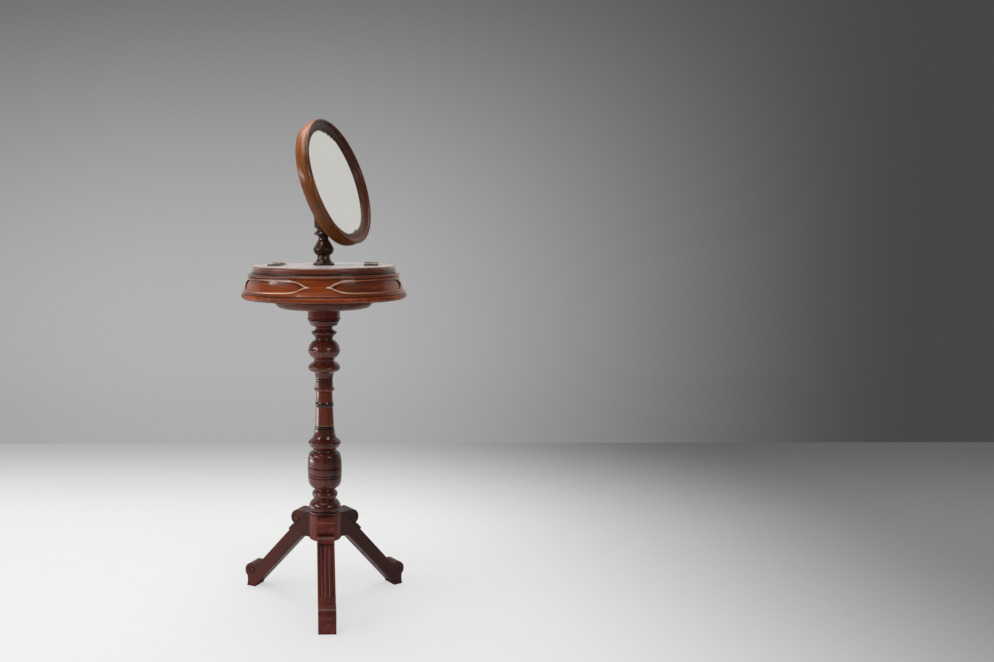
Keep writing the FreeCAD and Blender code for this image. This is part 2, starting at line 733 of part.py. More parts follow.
def lid_side(body, inner=None):
    side = new_sketch(body, "XZ_Plane", "side")
    shoulder = "lid_tall - lid_ovolo"
    under = "lid_tall - lid_ovolo - lid_fillet"
    start = inner or "0"
    outline(side, ((start, "0"), ("lid_foot", "0"), ("lid_foot", under, -0.1),
                   ("lid_edge", under), ("lid_edge", shoulder),
                   ("lid_radius", "lid_tall", 0.16), (start, "lid_tall")))
    revolve(body, side)


# Cuts a turned round away on one side of a line across the table.
def cut_beyond(body, name, line, rear):
    wide = "lid_edge + past"
    sketch = new_sketch(body, "XY_Plane", name)
    if rear:
        box_outline(sketch, flip(wide), wide, line, wide)
    else:
        box_outline(sketch, flip(wide), wide, flip(wide), line)
    pocket(body, sketch, midplane=True)


def make_bridge():
    body = new_body("lid_bridge")
    place(body, up=LID_LOW)
    lid_side(body, "rod_radius + rod_free")
    edge = "bridge_half - seam"
    cut_beyond(body, "rear_cut", edge, True)
    cut_beyond(body, "front_cut", flip(edge), False)


def make_lid(label, front):
    body = new_body(label)
    place(body, up=LID_LOW)
    lid_side(body)
    edge = "bridge_half + seam"
    cut_beyond(body, "inner_cut", flip(edge) if front else edge, front)


def make_wall(label, front):
    body = new_body(label)
    place(body, up=BOARD_TOP)
    sketch = new_sketch(body, "XY_Plane", "plan")
    near = "bridge_half - wall_thick"
    far = "bridge_half"
    low, high = (flip(far), flip(near)) if front else (near, far)
    box_outline(sketch, "- frieze_inner", "frieze_inner", low, high)
    pad(body, sketch, "frieze_tall + lid_gap")
    trim = new_sketch(body, "XY_Plane", "trim")
    ring(trim, "0", "0", "frieze_inner - joint_gap")
    ring(trim, "0", "0", "frieze_inner + past")
    pocket(body, trim, midplane=True)


# ---- hinges ----

def leaf(label, number, fixed):
    across = "hinge_out" if number in (1, 3) else "- hinge_out"
    front = number < 2
    body = new_body(label)
    along = "- bridge_half" if front else "bridge_half"
    # leaves run to +Y in their own frame; turned half round where they run to -Y
    runs_back = fixed if front else not fixed
    place(body, across=across, along=along, up=TABLE_TOP, turn="0" if runs_back else "180")
    plate = new_sketch(body, "XY_Plane", "plate")
    box_outline(plate, "- hinge_long/2", "hinge_long/2", "0", "leaf_wide")
    pad(body, plate, "leaf_thick")
    barrel = new_sketch(body, "YZ_Plane", "barrel")
    ring(barrel, "0", "knuckle_radius + knuckle_lift", "knuckle_radius")
    pad(body, barrel, "hinge_long", midplane=True)
    clear_knuckles(body, fixed)
    bore = new_sketch(body, "YZ_Plane", "bore")
    ring(bore, "0", "knuckle_radius + knuckle_lift", "hinge_pin_radius + pin_fit")
    pocket(body, bore, midplane=True)


def clear_knuckles(body, fixed):
    notch = new_sketch(body, "XY_Plane", "notch")
    reach = "knuckle_radius + knuckle_lift"
    if fixed:
        half = "knuckle_long/2 + knuckle_gap"
        box_outline(notch, flip(half), half, "- knuckle_radius - 1", reach)
    else:
        for sign in (1, -1):
            near, far = "knuckle_long/2", "hinge_long/2 + 1"
            left, right = (near, far) if sign > 0 else (flip(far), flip(near))
            box_outline(notch, left, right, "- knuckle_radius - 1", reach)
    pocket(body, notch, midplane=True)


def make_hinge_pin(label, number):
    body = new_body(label)
    across = "hinge_out" if number in (1, 3) else "- hinge_out"
    along = "- bridge_half" if number < 2 else "bridge_half"
    place(body, across=across, along=along,
          up=TABLE_TOP + " + knuckle_radius + knuckle_lift")
    sketch = new_sketch(body, "YZ_Plane", "round")
    ring(sketch, "0", "0", "hinge_pin_radius")
    pad(body, sketch, "hinge_long", midplane=True)


# ---- rod, clamp screw and post ----

def make_rod():
    body = new_body("lift_rod")
    place(body, up=POST_LOW + " - thrust_gap - rod_long")
    side = new_sketch(body, "XZ_Plane", "side")
    outline(side, (("0", "0"), ("rod_radius - 1", "0"), ("rod_radius", "1"),
                   ("rod_radius", "rod_long"), ("spigot_radius", "rod_long"),
                   ("spigot_radius", "rod_long + spigot_long - 2"),
                   ("spigot_radius - 2", "rod_long + spigot_long"),
                   ("0", "rod_long + spigot_long")))
    revolve(body, side)


def make_clamp():
    body = new_body("clamp_screw")
    # its own axis runs to +Y, out of the back of the drum
    place(body, up=COLUMN_TOP + " - clamp_drop")
    side = new_sketch(body, "XY_Plane", "side")
    start = "rod_radius + rod_fit + clamp_tip_gap"
    face = "drum_radius + clamp_neck_long"
    back = face + " + clamp_collar_long"
    outline(side, (("0", start), ("clamp_radius", start), ("clamp_radius", face),
                   ("clamp_collar_radius", face), ("clamp_collar_radius", back), ("0", back)))
    revolve(body, side)
    wing = new_sketch(body, "XY_Plane", "wing")
    outline(wing, (("- clamp_radius", face), ("clamp_radius", face),
                   ("wing_wide/2", back + " + wing_long/2", -0.1),
                   ("wing_wide/2 - 3", back + " + wing_long", 0.35),
                   ("- wing_wide/2 + 3", back + " + wing_long", -0.12),
                   ("- wing_wide/2", back + " + wing_long/2", 0.35)))
    pad(body, wing, "wing_thick", midplane=True)


def make_post():
    body = new_body("mirror_post")
    place(body, up=POST_LOW, turn="mirror_turn")
    side = new_sketch(body, "XZ_Plane", "side")
    middle = "pivot_high - post_gap"
    corners = turned_corners(POST, "sole_bead_radius")[:-1]
    corners.append(("ball_radius", middle, 0.12))
    corners.append(("0", middle + " + ball_radius", 0.207))
    outline(side, corners)
    revolve(body, side)
    bore = new_sketch(body, "XY_Plane", "bore")
    ring(bore, "0", "0", "spigot_radius + rod_fit")
    pocket(body, bore, "spigot_long - thrust_gap + socket_spare", reverse=True)
    slot = new_sketch(body, "XZ_Plane", "slot")
    low = middle + " - slot_drop"
    high = middle + " + ball_radius + past"
    box_outline(slot, "- slot_half", "slot_half", low, high)
    pocket(body, slot, midplane=True)
    flats = new_sketch(body, "XZ_Plane", "flats")
    for sign in (1, -1):
        near, far = "cheek_out", "ball_radius + 5"
        left, right = (near, far) if sign > 0 else (flip(far), flip(near))
        box_outline(flats, left, right, middle + " - ball_radius", middle + " + ball_radius")
    pocket(body, flats, midplane=True)
    hole = new_sketch(body, "YZ_Plane", "pin_hole")
    ring(hole, "0", middle, "pin_radius + pin_fit")
    pocket(body, hole, midplane=True)


def make_tilt_pin():
    body = new_body("tilt_pin")
    place(body, up=PIVOT, turn="mirror_turn")
    # the pin's axis is X; its profile is turned about the sketch's horizontal axis
    side = new_sketch(body, "XY_Plane", "side")
    end = "cheek_out + pin_tail"
    outline(side, (("- cheek_out - pin_head_long", "0"), (end, "0"),
                   (end, "pin_radius - 1"), (end + " - 1", "pin_radius"),
                   ("- cheek_out", "pin_radius"), ("- cheek_out", "pin_head_radius"),
                   ("- cheek_out - pin_head_long", "pin_head_radius - 3", 0.15)))
    revolve(body, side, "H_Axis")


def make_tilt_nut():
    body = new_body("tilt_nut")
    place(body, up=PIVOT, turn="mirror_turn")
    side = new_sketch(body, "XY_Plane", "side")
    face = "cheek_out + thrust_gap"
    back = face + " + nut_long"
    hole = "pin_radius + pin_fit"
    outline(side, ((face, hole), (back, hole), (back, "nut_radius - 3"),
                   (face + " + 2", "nut_radius", 0.1), (face, "nut_radius")))
    revolve(body, side, "H_Axis")
    for sign in (1, -1):
        wing = new_sketch(body, "XY_Plane", "wing%d" % (sign > 0))
        reach = "nut_radius - 4"
        tip = "nut_radius + 8"
        if sign > 0:
            outline(wing, ((face + " + 1", reach), (back, reach), (back + " + 4", tip, -0.1),
                           (back + " - 1", tip, 0.4)))
        else:
            outline(wing, ((back, flip(reach)), (face + " + 1", flip(reach)),
                           (back + " - 1", flip(tip)), (back + " + 4", flip(tip), 0.4)))
        pad(body, wing, "wing_thick", midplane=True)


# ---- mirror: own frame has the tilt axis along X and the glass facing -Y ----

def mirror_body(label):
    body = new_body(label)
    place(body, up=PIVOT, turn="mirror_turn", lean="- mirror_lean")
    return body


def mirror_turned(body, corners):
    side = new_sketch(body, "XY_Plane", "side")
    outline(side, corners)
    revolve(body, side)


def make_mirror_frame():
    body = mirror_body("mirror_frame")
    front = "- frame_front"
    back = "- frame_front + frame_deep"
    rebate = "- frame_front + rebate_front"
    reed = rebate + " - sight_lip - 2"
    corners = (("rebate_radius", rebate), ("sight_radius", rebate),
               ("sight_radius", rebate + " - sight_lip"),
               ("sight_radius + 5", reed, 0.28), ("sight_radius + 5.5", reed + " + 0.6"),
               ("sight_radius + 10.5", reed + " - 1.8", 0.28),
               ("sight_radius + 11", reed + " - 1.2"),
               ("frame_radius - 9", front + " + 4.8", -0.08),
               ("frame_radius - 8.8", front + " + 2.6"),
               ("frame_radius - 4", front, 0.2), ("frame_radius", front + " + 4", 0.2),
               ("frame_radius - 3", front + " + 8", -0.2),
               ("frame_radius - 3", front + " + 9.5"),
               ("frame_radius - 3.5", back + " - 1.5", 0.1),
               ("frame_radius - 5", back), ("rebate_radius", back))
    mirror_turned(body, corners)


def make_glass():
    body = mirror_body("mirror_glass")
    front = "- frame_front + rebate_front + glass_gap"
    edge = "rebate_radius - glass_gap"
    mirror_turned(body, (("0", front), (edge, front), (edge, front + " + glass_thick"),
                         ("0", front + " + glass_thick")))


def make_backboard():
    body = mirror_body("mirror_backboard")
    front = "- frame_front + rebate_front + glass_gap + glass_thick + glass_gap"
    edge = "rebate_radius - glass_gap"
    mirror_turned(body, (("0", front), (edge, front), (edge, front + " + back_thick"),
                         ("0", front + " + back_thick")))


def make_knuckle():
    body = mirror_body("tilt_knuckle")
    face = "- frame_front + rebate_front + glass_gap + glass_thick + glass_gap + back_thick"
    plate = new_sketch(body, "XZ_Plane", "plate", flip(face))
    low = "- plate_long/2 + plate_bow"
    high = "plate_long/2 - plate_bow"
    outline(plate, (("- plate_wide/2", low), ("plate_wide/2", low, 0.28),
                    ("plate_wide/2", high), ("- plate_wide/2", high, 0.28)))
    pad(body, plate, "plate_thick", reverse=True)
    tongue = new_sketch(body, "YZ_Plane", "tongue")
    back = face + " + plate_thick/2"
    outline(tongue, ((back, "- tongue_high/2"), ("0", "- tongue_high/2"),
                     ("0", "tongue_high/2"), (back, "tongue_high/2")))
    pad(body, tongue, "tongue_thick", midplane=True)
    eye = new_sketch(body, "YZ_Plane", "eye")
    ring(eye, "0", "0", "tongue_radius")
    pad(body, eye, "tongue_thick", midplane=True)
    hole = new_sketch(body, "YZ_Plane", "pin_hole")
    ring(hole, "0", "0", "pin_radius + pin_fit")
    pocket(body, hole, midplane=True)


def check_and_write():
    doc.recompute()
    for item in doc.Objects:
        if "Invalid" in item.State or "Error" in item.State:
            raise RuntimeError("%s: %s" % (item.Name, item.State))
    os.makedirs("parts", exist_ok=True)
    for item in pieces:
        shape = item.Shape
        if shape.isNull() or not shape.isValid() or len(shape.Solids) != 1:
            raise RuntimeError("bad solid: %s (%d)" % (item.Label, len(shape.Solids)))
    for item in pieces:
        item.Shape.exportStep("parts/%s.step" % item.Label)
    print("wrote", len(pieces), "pieces")


def build():
    make_hub()
    for number, name in enumerate(("leg_front", "leg_right", "leg_left")):
        make_leg(name, number)
    make_column()
    make_mount_disc()
    make_base_board()
    make_frieze()
    make_bridge()
    make_lid("lid_front", True)
    make_lid("lid_rear", False)
    make_wall("well_wall_front", True)
    make_wall("well_wall_rear", False)
    for number, name in enumerate(("front_left", "front_right", "rear_left", "rear_right")):
        leaf("hinge_fixed_" + name, number, True)
        leaf("hinge_leaf_" + name, number, False)
        make_hinge_pin("hinge_pin_" + name, number)
    make_rod()
    make_clamp()
    make_post()
    make_tilt_pin()
    make_tilt_nut()
    make_mirror_frame()
    make_glass()
    make_backboard()
    make_knuckle()
    check_and_write()


build()
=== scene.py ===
"""Turned dressing stand with a tilting mirror: its finishes, small fittings and a plain studio."""

import json
import math

import bpy
from bpy.props import (
    FloatProperty,
    FloatVectorProperty,
    IntProperty,
    PointerProperty,
)
from mathutils import Matrix, Vector


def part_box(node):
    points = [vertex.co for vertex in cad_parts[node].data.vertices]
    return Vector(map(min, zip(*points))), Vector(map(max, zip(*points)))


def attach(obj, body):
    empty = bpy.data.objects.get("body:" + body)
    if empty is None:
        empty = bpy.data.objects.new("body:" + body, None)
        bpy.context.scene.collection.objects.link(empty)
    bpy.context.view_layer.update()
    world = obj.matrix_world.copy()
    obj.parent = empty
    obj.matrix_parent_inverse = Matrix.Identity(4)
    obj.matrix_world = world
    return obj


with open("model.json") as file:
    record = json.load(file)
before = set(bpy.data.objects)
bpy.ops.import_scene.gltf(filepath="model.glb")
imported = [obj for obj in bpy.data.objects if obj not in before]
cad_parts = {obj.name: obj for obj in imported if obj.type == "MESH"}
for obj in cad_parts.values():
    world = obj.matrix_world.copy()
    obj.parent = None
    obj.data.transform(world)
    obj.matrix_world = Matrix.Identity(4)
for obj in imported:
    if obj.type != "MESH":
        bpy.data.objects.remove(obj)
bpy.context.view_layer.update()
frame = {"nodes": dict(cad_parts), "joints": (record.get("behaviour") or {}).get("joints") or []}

bl_info = {
    "name": "Dressing stand",
    "version": (1, 0, 0),
    "blender": (4, 5, 0),
    "location": "3D View > Sidebar > Dressing stand",
    "description": "Polishes, ages and lights a turned stand with a tilting mirror",
    "category": "Object",
}

JOINTS = {joint["name"]: joint for joint in frame["joints"]}
PIVOT = Vector(JOINTS["mirror_tilt"]["pos_m"])
CORNERS = ("front_left", "front_right", "rear_left", "rear_right")
FRIEZE_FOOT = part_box("frieze_ring")[0].z


def paint(red, green, blue):
    """A screen colour, 0 to 255, as the linear colour that a shader takes."""
    shares = (value / 255 for value in (red, green, blue))
    return tuple(s / 12.92 if s <= 0.04045 else ((s + 0.055) / 1.055) ** 2.4 for s in shares)


def lighter(shade, share):
    """A colour with its brightness multiplied by share."""
    return tuple(value * share for value in shade)


# Rings of colour on the turnings: the wood's own black rings and pale line, painted shade
# lines under lips and in crevices, and stretches made paler, redder or darker as painted light
# and shade. Each gives middle and half width along the turning's axis, in metres, then the
# colour and its share.
FRIEZE_SHADE_LINES = (
    (0.9042, 0.0011, paint(44, 18, 10), 0.75),  # painted shade: a dark line above the fillet at the foot
    (0.9582, 0.0032, paint(52, 22, 13), 0.7),  # painted shadow: the top edge, under the lids
)
# Black of the shaft's own rings, and of the painted shadow under the drum's lip.
BLACK_RING_AND_SHADE = paint(34, 27, 17)
COLUMN_BANDS = (
    (0.5765, 0.0555, paint(152, 72, 44), 0.26),  # painted light: the shaft made paler
    (0.844, 0.0155, paint(138, 46, 34), 0.4),  # the drum under the disc, made redder, and lighter as painted light
    (0.8245, 0.0016, BLACK_RING_AND_SHADE, 0.8),  # painted shadow: a black line under the drum's lip
    (0.5796, 0.0075, BLACK_RING_AND_SHADE, 0.85),  # the black band round the shaft
    (0.513, 0.0052, BLACK_RING_AND_SHADE, 0.8),  # the black ring under the shaft
    (0.5195, 0.0012, paint(166, 132, 84), 0.6),  # the pale line above that ring
    (0.779, 0.019, paint(48, 20, 16), 0.45),  # painted shade: the saucer made darker
)
# Painted shade on the mirror frame's front face: middle and half width of the band, as distance
# from the mirror's middle, in metres, and its share.
FRAME_SHADE_MIDDLE = 0.1625
FRAME_SHADE_HALF = 0.0148
FRAME_SHADE_SHARE = 0.78

# The frieze's hollow face: its foot and its neck as radius and height above the frieze's foot,
# and how far the arc between them sags, as a share of its chord.
FACE_FOOT = (0.233, 0.003)
FACE_NECK = (0.214, 0.046)
FACE_SAG = 0.056
BEAD_LIFT = 0.0001

# Upper outline of a carved panel: start, end and bulge of each arc, from one tip to the other.
PANEL_COUNT = 4
PANEL_MIDDLE = 0.0265
PANEL_ARCS = (
    ((0.1388, 0.0), (0.1268, 0.0026), -0.06), ((0.1268, 0.0026), (0.092, 0.0152), 0.08),
    ((0.092, 0.0152), (-0.092, 0.0152), 0.0098),
    ((-0.092, 0.0152), (-0.1268, 0.0026), 0.08),
    ((-0.1268, 0.0026), (-0.1388, 0.0), -0.06))

# Brightness of each leg and of the hub, as a share of the legs' colour: painted light and
# shade, tuned for tone under these lamps, not for known wear. LEG_FALL is how steeply the
# legs' grain falls.
LEG_PAINTED_LIGHT = (("leg_front", 1.9), ("leg_right", 0.75), ("leg_left", 1.25))
HUB_PAINTED_LIGHT = 2.2
LEG_FALL = 1.08

# Each lamp's name, place, target and size in metres, and its spread in degrees. Its watts are
# the studio setting of the same name.
LAMPS = (
    ("overhead", (-0.3, 0.1, 3.2), (-0.2, 0.1, 0), (2.6, 1.8), 180),
    ("left", (-2.1, -1.04, 1.54), (0, 0, 0.95), (1.6, 0.3), 180),
    ("right", (1.5, -1.8, 1.6), (0, 0, 0.95), (0.8, 0.34), 180),
    ("behind", (-2.4, 0.3, 0.17), (0, 0, 0.24), (2.0, 0.3), 70),
)


def colour_property(label, words, shade):
    return FloatVectorProperty(
        name=label, description=words, subtype="COLOR", size=3, min=0, max=1,
        default=paint(*shade))


def length_property(label, words, metres):
    return FloatProperty(name=label, description=words, unit="LENGTH", min=0, default=metres)


def share_property(label, words, share):
    return FloatProperty(
        name=label, description=words, subtype="FACTOR", min=0, max=1, default=share)


def angle_property(label, words, degrees):
    return FloatProperty(
        name=label, description=words, subtype="ANGLE", default=math.radians(degrees))


# ---- settings that a user would change ----

class WoodSettings(bpy.types.PropertyGroup):
    """Colours and polish of the woodwork."""

    table_light: colour_property("Table light", "Light figure of the frieze", (162, 70, 14))
    table_dark: colour_property("Table dark", "Dark figure of the frieze", (74, 28, 8))
    board_light: colour_property("Board light", "Light figure of lids and boards", (134, 68, 42))
    board_dark: colour_property("Board dark", "Dark figure of lids and boards", (74, 34, 22))
    shaft_light: colour_property("Column light", "Light figure of the column", (112, 46, 32))
    shaft_dark: colour_property("Column dark", "Dark figure of the column", (48, 18, 14))
    leg_light: colour_property("Leg light", "Light figure of the legs", (96, 38, 29))
    leg_dark: colour_property("Leg dark", "Dark figure of the legs", (44, 17, 14))
    rim_light: colour_property("Frame light", "Light figure of the mirror frame", (168, 98, 44))
    rim_dark: colour_property("Frame dark", "Dark figure of the mirror frame", (80, 41, 18))
    # the dark colour painted on the frame's front face as shade
    rim_front_shade: colour_property("Frame stain", "Dark stain on the frame's front", (58, 28, 26))
    post_light: colour_property("Post light", "Light figure of the mirror post", (88, 52, 36))
    post_dark: colour_property("Post dark", "Dark figure of the mirror post", (34, 19, 14))
    pine_light: colour_property("Backboard light", "Light figure of the backboard", (146, 104, 66))
    pine_dark: colour_property("Backboard dark", "Dark figure of the backboard", (96, 62, 36))
    # the colour towards which the hollows found by occlusion are darkened
    hollow_colour: colour_property("Grime", "Old wax in the hollows", (20, 11, 8))
    # painted highlight: the beads' pale colour, which gives way to their own colour behind the
    # front
    bead_highlight: colour_property("Bead", "Rubbed wood of the panels' beads", (240, 202, 170))
    bead_plain: colour_property("Sound bead", "Wood of the beads behind the front", (126, 58, 22))
    bead_radius: length_property("Bead radius", "Radius of the panels' round beads", 0.0022)
    stripe: length_property("Stripe", "Spacing of the fine grain", 0.0045)
    roughness: share_property("Roughness", "Roughness under the polish", 0.42)
    # how much the hollows found by occlusion are darkened
    darkening: share_property("Wax", "How much old wax darkens the hollows", 0.75)
    rub: share_property("Rub", "How much handling has lightened the edges", 0.35)


class MirrorSettings(bpy.types.PropertyGroup):
    """The glass and how the mirror stands at rest."""

    turn: angle_property("Turn", "Turn of the tilt axis from the table front", 69.2)
    lean: angle_property("Lean", "Lean of the glass back from upright", 17.2)
    silver: colour_property("Silver", "Colour of the silvered glass", (243, 243, 241))
    spots: colour_property("Spots", "Colour where the silver has gone", (118, 114, 104))
    glass_radius: length_property("Glass radius", "Radius of the glass that shows", 0.1515)
    decay: length_property("Decay", "How far the decay reaches in from the edge", 0.011)
    pins: IntProperty(name="Pins", description="Pins that hold the backboard", default=12, min=3)


class MetalSettings(bpy.types.PropertyGroup):
    """Colours of the metal pieces and the size of their screws."""

    hinge: colour_property("Hinge", "Greyed brass of the hinges", (156, 148, 136))
    brass: colour_property("Brass", "Dulled brass", (150, 118, 66))
    tarnish: colour_property("Tarnish", "Brown tarnish on brass", (62, 48, 34))
    steel: colour_property("Steel", "Bar steel of the rod", (150, 148, 144))
    head: length_property("Screw head", "Radius of a hinge screw's head", 0.0028)
    rise: length_property("Screw rise", "Height of a hinge screw's head", 0.0004)
    slot: length_property("Screw slot", "Width of a screw's slot", 0.0008)


class StudioSettings(bpy.types.PropertyGroup):
    """Camera, lamps, floor and wall."""

    distance: length_property("Distance", "Camera from the column", 2.75)
    height: length_property("Height", "Camera above the floor", 1.094)
    round_by: angle_property("Round", "Camera round from the table front", 4.3)
    pitch: angle_property("Pitch", "Camera down from level", 6.29)
    roll: angle_property("Roll", "Camera turned about its own axis", -0.31)
    lens: FloatProperty(name="Lens", description="Focal length, mm", default=35.03)
    shift: FloatProperty(name="Shift", description="Sideways shift of the view", default=0.174)
    wall_back: length_property("Wall", "Wall behind the column", 2.03)
    floor: colour_property("Floor", "Colour of the floor", (236, 236, 236))
    shade: share_property("Floor shade", "How much of the floor's look comes from the lamps", 0.32)
    wall: colour_property("Wall colour", "Colour of the wall behind the stand", (179, 178, 178))
    wall_far: colour_property("Wall far", "Colour of the wall's far side", (72, 70, 71))
    sky: FloatProperty(name="Sky", description="Strength of the light all round", default=0.12)
    overhead: FloatProperty(name="Overhead", description="Overhead lamp, watts", default=74)
    left: FloatProperty(name="Left", description="Left lamp, watts", default=23)
    right: FloatProperty(name="Right", description="Right lamp, watts", default=10)
    behind: FloatProperty(name="Behind", description="Low lamp on the left, watts", default=2.9)


SETTINGS = (
    ("stand_wood", WoodSettings),
    ("stand_mirror", MirrorSettings),
    ("stand_metal", MetalSettings),
    ("stand_studio", StudioSettings),
)


# ---- small tools for node trees ----

class Wiring:
    """A node tree while it is being wired up."""

    def __init__(self, tree):
        self.tree = tree

    def add(self, kind, inputs=None, **settings):
        node = self.tree.nodes.new(kind)
        node.location = (190 * len(self.tree.nodes), -60 * (len(self.tree.nodes) % 5))
        for name, value in settings.items():
            setattr(node, name, value)
        for key, value in (inputs or {}).items():
            self.feed(node.inputs[key], value)
        return node

    def feed(self, socket, value):
        if isinstance(value, bpy.types.Node):
            value = value.outputs[0]
        if isinstance(value, bpy.types.NodeSocket):
            self.tree.links.new(value, socket)
        elif socket.type == "RGBA" and len(value) == 3:
            socket.default_value = (*value, 1)
        else:
            socket.default_value = value

    def math(self, operation, first, second=0.0, clamp=False):
        return self.add(
            "ShaderNodeMath", {0: first, 1: second}, operation=operation, use_clamp=clamp)

    def blend(self, share, first, second, way="MIX"):
        node = self.add(
            "ShaderNodeMix", {0: share, 6: first, 7: second}, data_type="RGBA", blend_type=way)
        return node.outputs[2]

    def remap(self, value, low, high, to_low=0.0, to_high=1.0):
        return self.add(
            "ShaderNodeMapRange",
            {0: value, 1: low, 2: high, 3: to_low, 4: to_high},
            interpolation_type="SMOOTHSTEP")

    def noise(self, place, size, detail=2.0, roughness=0.5):
        """Noise on a vector, with a size of its own along each of the three ways."""
        scaled = self.add(
            "ShaderNodeVectorMath", {0: place, 1: tuple(1 / s for s in size)},
            operation="MULTIPLY")
        return self.add(
            "ShaderNodeTexNoise",
            {"Vector": scaled, "Scale": 1.0, "Detail": detail, "Roughness": roughness})


def new_tree(name, kind, inputs, outputs):
    tree = bpy.data.node_groups.new(name, kind)
    for side, sockets in (("INPUT", inputs), ("OUTPUT", outputs)):
        for label, socket_type, *default in sockets:
            socket = tree.interface.new_socket(
                label, in_out=side, socket_type="NodeSocket" + socket_type)
            if default:
                socket.default_value = default[0]
    return tree


def group(wiring, tree, inputs):
    node = wiring.add("ShaderNodeGroup", node_tree=tree)
    for key, value in inputs.items():
        wiring.feed(node.inputs[key], value)
    return node


# ---- shader groups that several finishes share ----

def wood_figure_tree():
    """Figure, grain and pores of sawn wood. The grain runs along the vector's X."""
    tree = new_tree(
        "wood_figure", "ShaderNodeTree",
        (("Place", "Vector"), ("Light", "Color"), ("Dark", "Color"), ("Stripe", "Float", 0.004),
         ("Flame", "Float", 0.5)),
        (("Color", "Color"), ("Height", "Float")))
    wiring = Wiring(tree)
    given = wiring.add("NodeGroupInput").outputs
    clouds = wiring.noise(given["Place"], (0.28, 0.045, 0.045), 3)
    streaks = wiring.noise(given["Place"], (0.16, 0.009, 0.009), 3, 0.6)
    fine = wiring.add(
        "ShaderNodeVectorMath", {0: given["Place"]}, operation="DIVIDE")
    width = wiring.add(
        "ShaderNodeCombineXYZ",
        {0: wiring.math("MULTIPLY", given["Stripe"], 30), 1: given["Stripe"],
         2: given["Stripe"]})
    wiring.feed(fine.inputs[1], width)
    stripes = wiring.add("ShaderNodeTexNoise", {"Vector": fine, "Scale": 1.0, "Detail": 4.0})
    pores = wiring.noise(given["Place"], (0.0042, 0.00034, 0.00034), 1)
    pits = wiring.remap(pores, 0.6, 0.72)
    body = wiring.math(
        "ADD", wiring.math("MULTIPLY", clouds, given["Flame"]),
        wiring.math("MULTIPLY", streaks, wiring.math("SUBTRACT", 1.0, given["Flame"])))
    tone = wiring.remap(body, 0.32, 0.68)
    colour = wiring.blend(tone, given["Dark"], given["Light"])
    lines = wiring.remap(stripes, 0.42, 0.62, 0.0, 0.42)
    colour = wiring.blend(lines, colour, given["Dark"])
    colour = wiring.blend(wiring.math("MULTIPLY", pits, 0.4), colour, (0.006, 0.003, 0.002))
    height = wiring.math(
        "SUBTRACT", wiring.math("MULTIPLY", stripes, 0.35), wiring.math("MULTIPLY", pits, 0.5))
    wiring.add("NodeGroupOutput", {"Color": colour, "Height": height})
    return tree


def handling_tree():
    """Darker hollows, found by occlusion, and edges rubbed lighter by hands."""
    tree = new_tree(
        "handling", "ShaderNodeTree",
        (("Place", "Vector"), ("Color", "Color"), ("Grime", "Color"), ("Wax", "Float", 0.7),
         ("Rub", "Float", 0.3), ("Reach", "Float", 0.007)),
        (("Color", "Color"), ("Worn", "Float")))
    wiring = Wiring(tree)
    given = wiring.add("NodeGroupInput").outputs
    patches = wiring.noise(given["Place"], (0.02, 0.02, 0.02), 4, 0.65)
    hollow = wiring.add(
        "ShaderNodeAmbientOcclusion", {"Distance": given["Reach"]}, samples=6, only_local=True)
    depth = wiring.remap(hollow.outputs["AO"], 0.97, 0.45)
    uneven = wiring.remap(patches, 0.3, 0.62, 0.55, 1.0)
    darkened = wiring.math("MULTIPLY", wiring.math("MULTIPLY", depth, uneven), given["Wax"])
    colour = wiring.blend(darkened, given["Color"], given["Grime"])
    edge = wiring.add(
        "ShaderNodeAmbientOcclusion", {"Distance": 0.003}, samples=6, inside=True,
        only_local=True)
    bare = wiring.remap(edge.outputs["AO"], 0.75, 0.35)
    bare = wiring.math("MULTIPLY", bare, wiring.remap(patches, 0.42, 0.6))
    bare = wiring.math("MULTIPLY", bare, given["Rub"])
    rubbed = wiring.blend(0.75, given["Color"], (0.34, 0.13, 0.055))
    colour = wiring.blend(bare, colour, rubbed)
    wiring.add(
        "NodeGroupOutput", {"Color": colour, "Worn": wiring.math("MAXIMUM", darkened, bare)})
    return tree


def polish_tree():
    """Uneven gloss: wipe marks, faint scratches and a pale, dusty film on what faces up, which on
    the lids is also painted reflection.
    """
    tree = new_tree(
        "polish", "ShaderNodeTree",
        (("Place", "Vector"), ("Color", "Color"), ("Roughness", "Float", 0.4),
         ("Worn", "Float", 0.0), ("Dust", "Float", 0.1)),
        (("Color", "Color"), ("Roughness", "Float"), ("Height", "Float")))
    wiring = Wiring(tree)
    given = wiring.add("NodeGroupInput").outputs
    smears = wiring.noise(given["Place"], (0.05, 0.018, 0.03), 4, 0.6)
    scratches = wiring.noise(given["Place"], (0.0011, 0.03, 0.0011), 2)
    lines = wiring.remap(scratches, 0.69, 0.75)
    up = wiring.add(
        "ShaderNodeSeparateXYZ", {0: wiring.add("ShaderNodeNewGeometry").outputs["Normal"]})
    film = wiring.remap(up.outputs[2], 0.55, 1.0)
    film = wiring.math("MULTIPLY", film, wiring.remap(smears, 0.35, 0.7, 0.3, 1.0))
    film = wiring.math("MULTIPLY", film, given["Dust"])
    colour = wiring.blend(film, given["Color"], (0.33, 0.3, 0.27))
    gloss = wiring.math("ADD", given["Roughness"], wiring.remap(smears, 0.3, 0.75, -0.07, 0.1))
    gloss = wiring.math("ADD", gloss, wiring.math("MULTIPLY", given["Worn"], 0.25))
    gloss = wiring.math("ADD", gloss, wiring.math("MULTIPLY", lines, 0.12))
    gloss = wiring.math("ADD", gloss, wiring.math("MULTIPLY", film, 0.5), clamp=True)
    wiring.add("NodeGroupOutput", {"Color": colour, "Roughness": gloss, "Height": lines})
    return tree


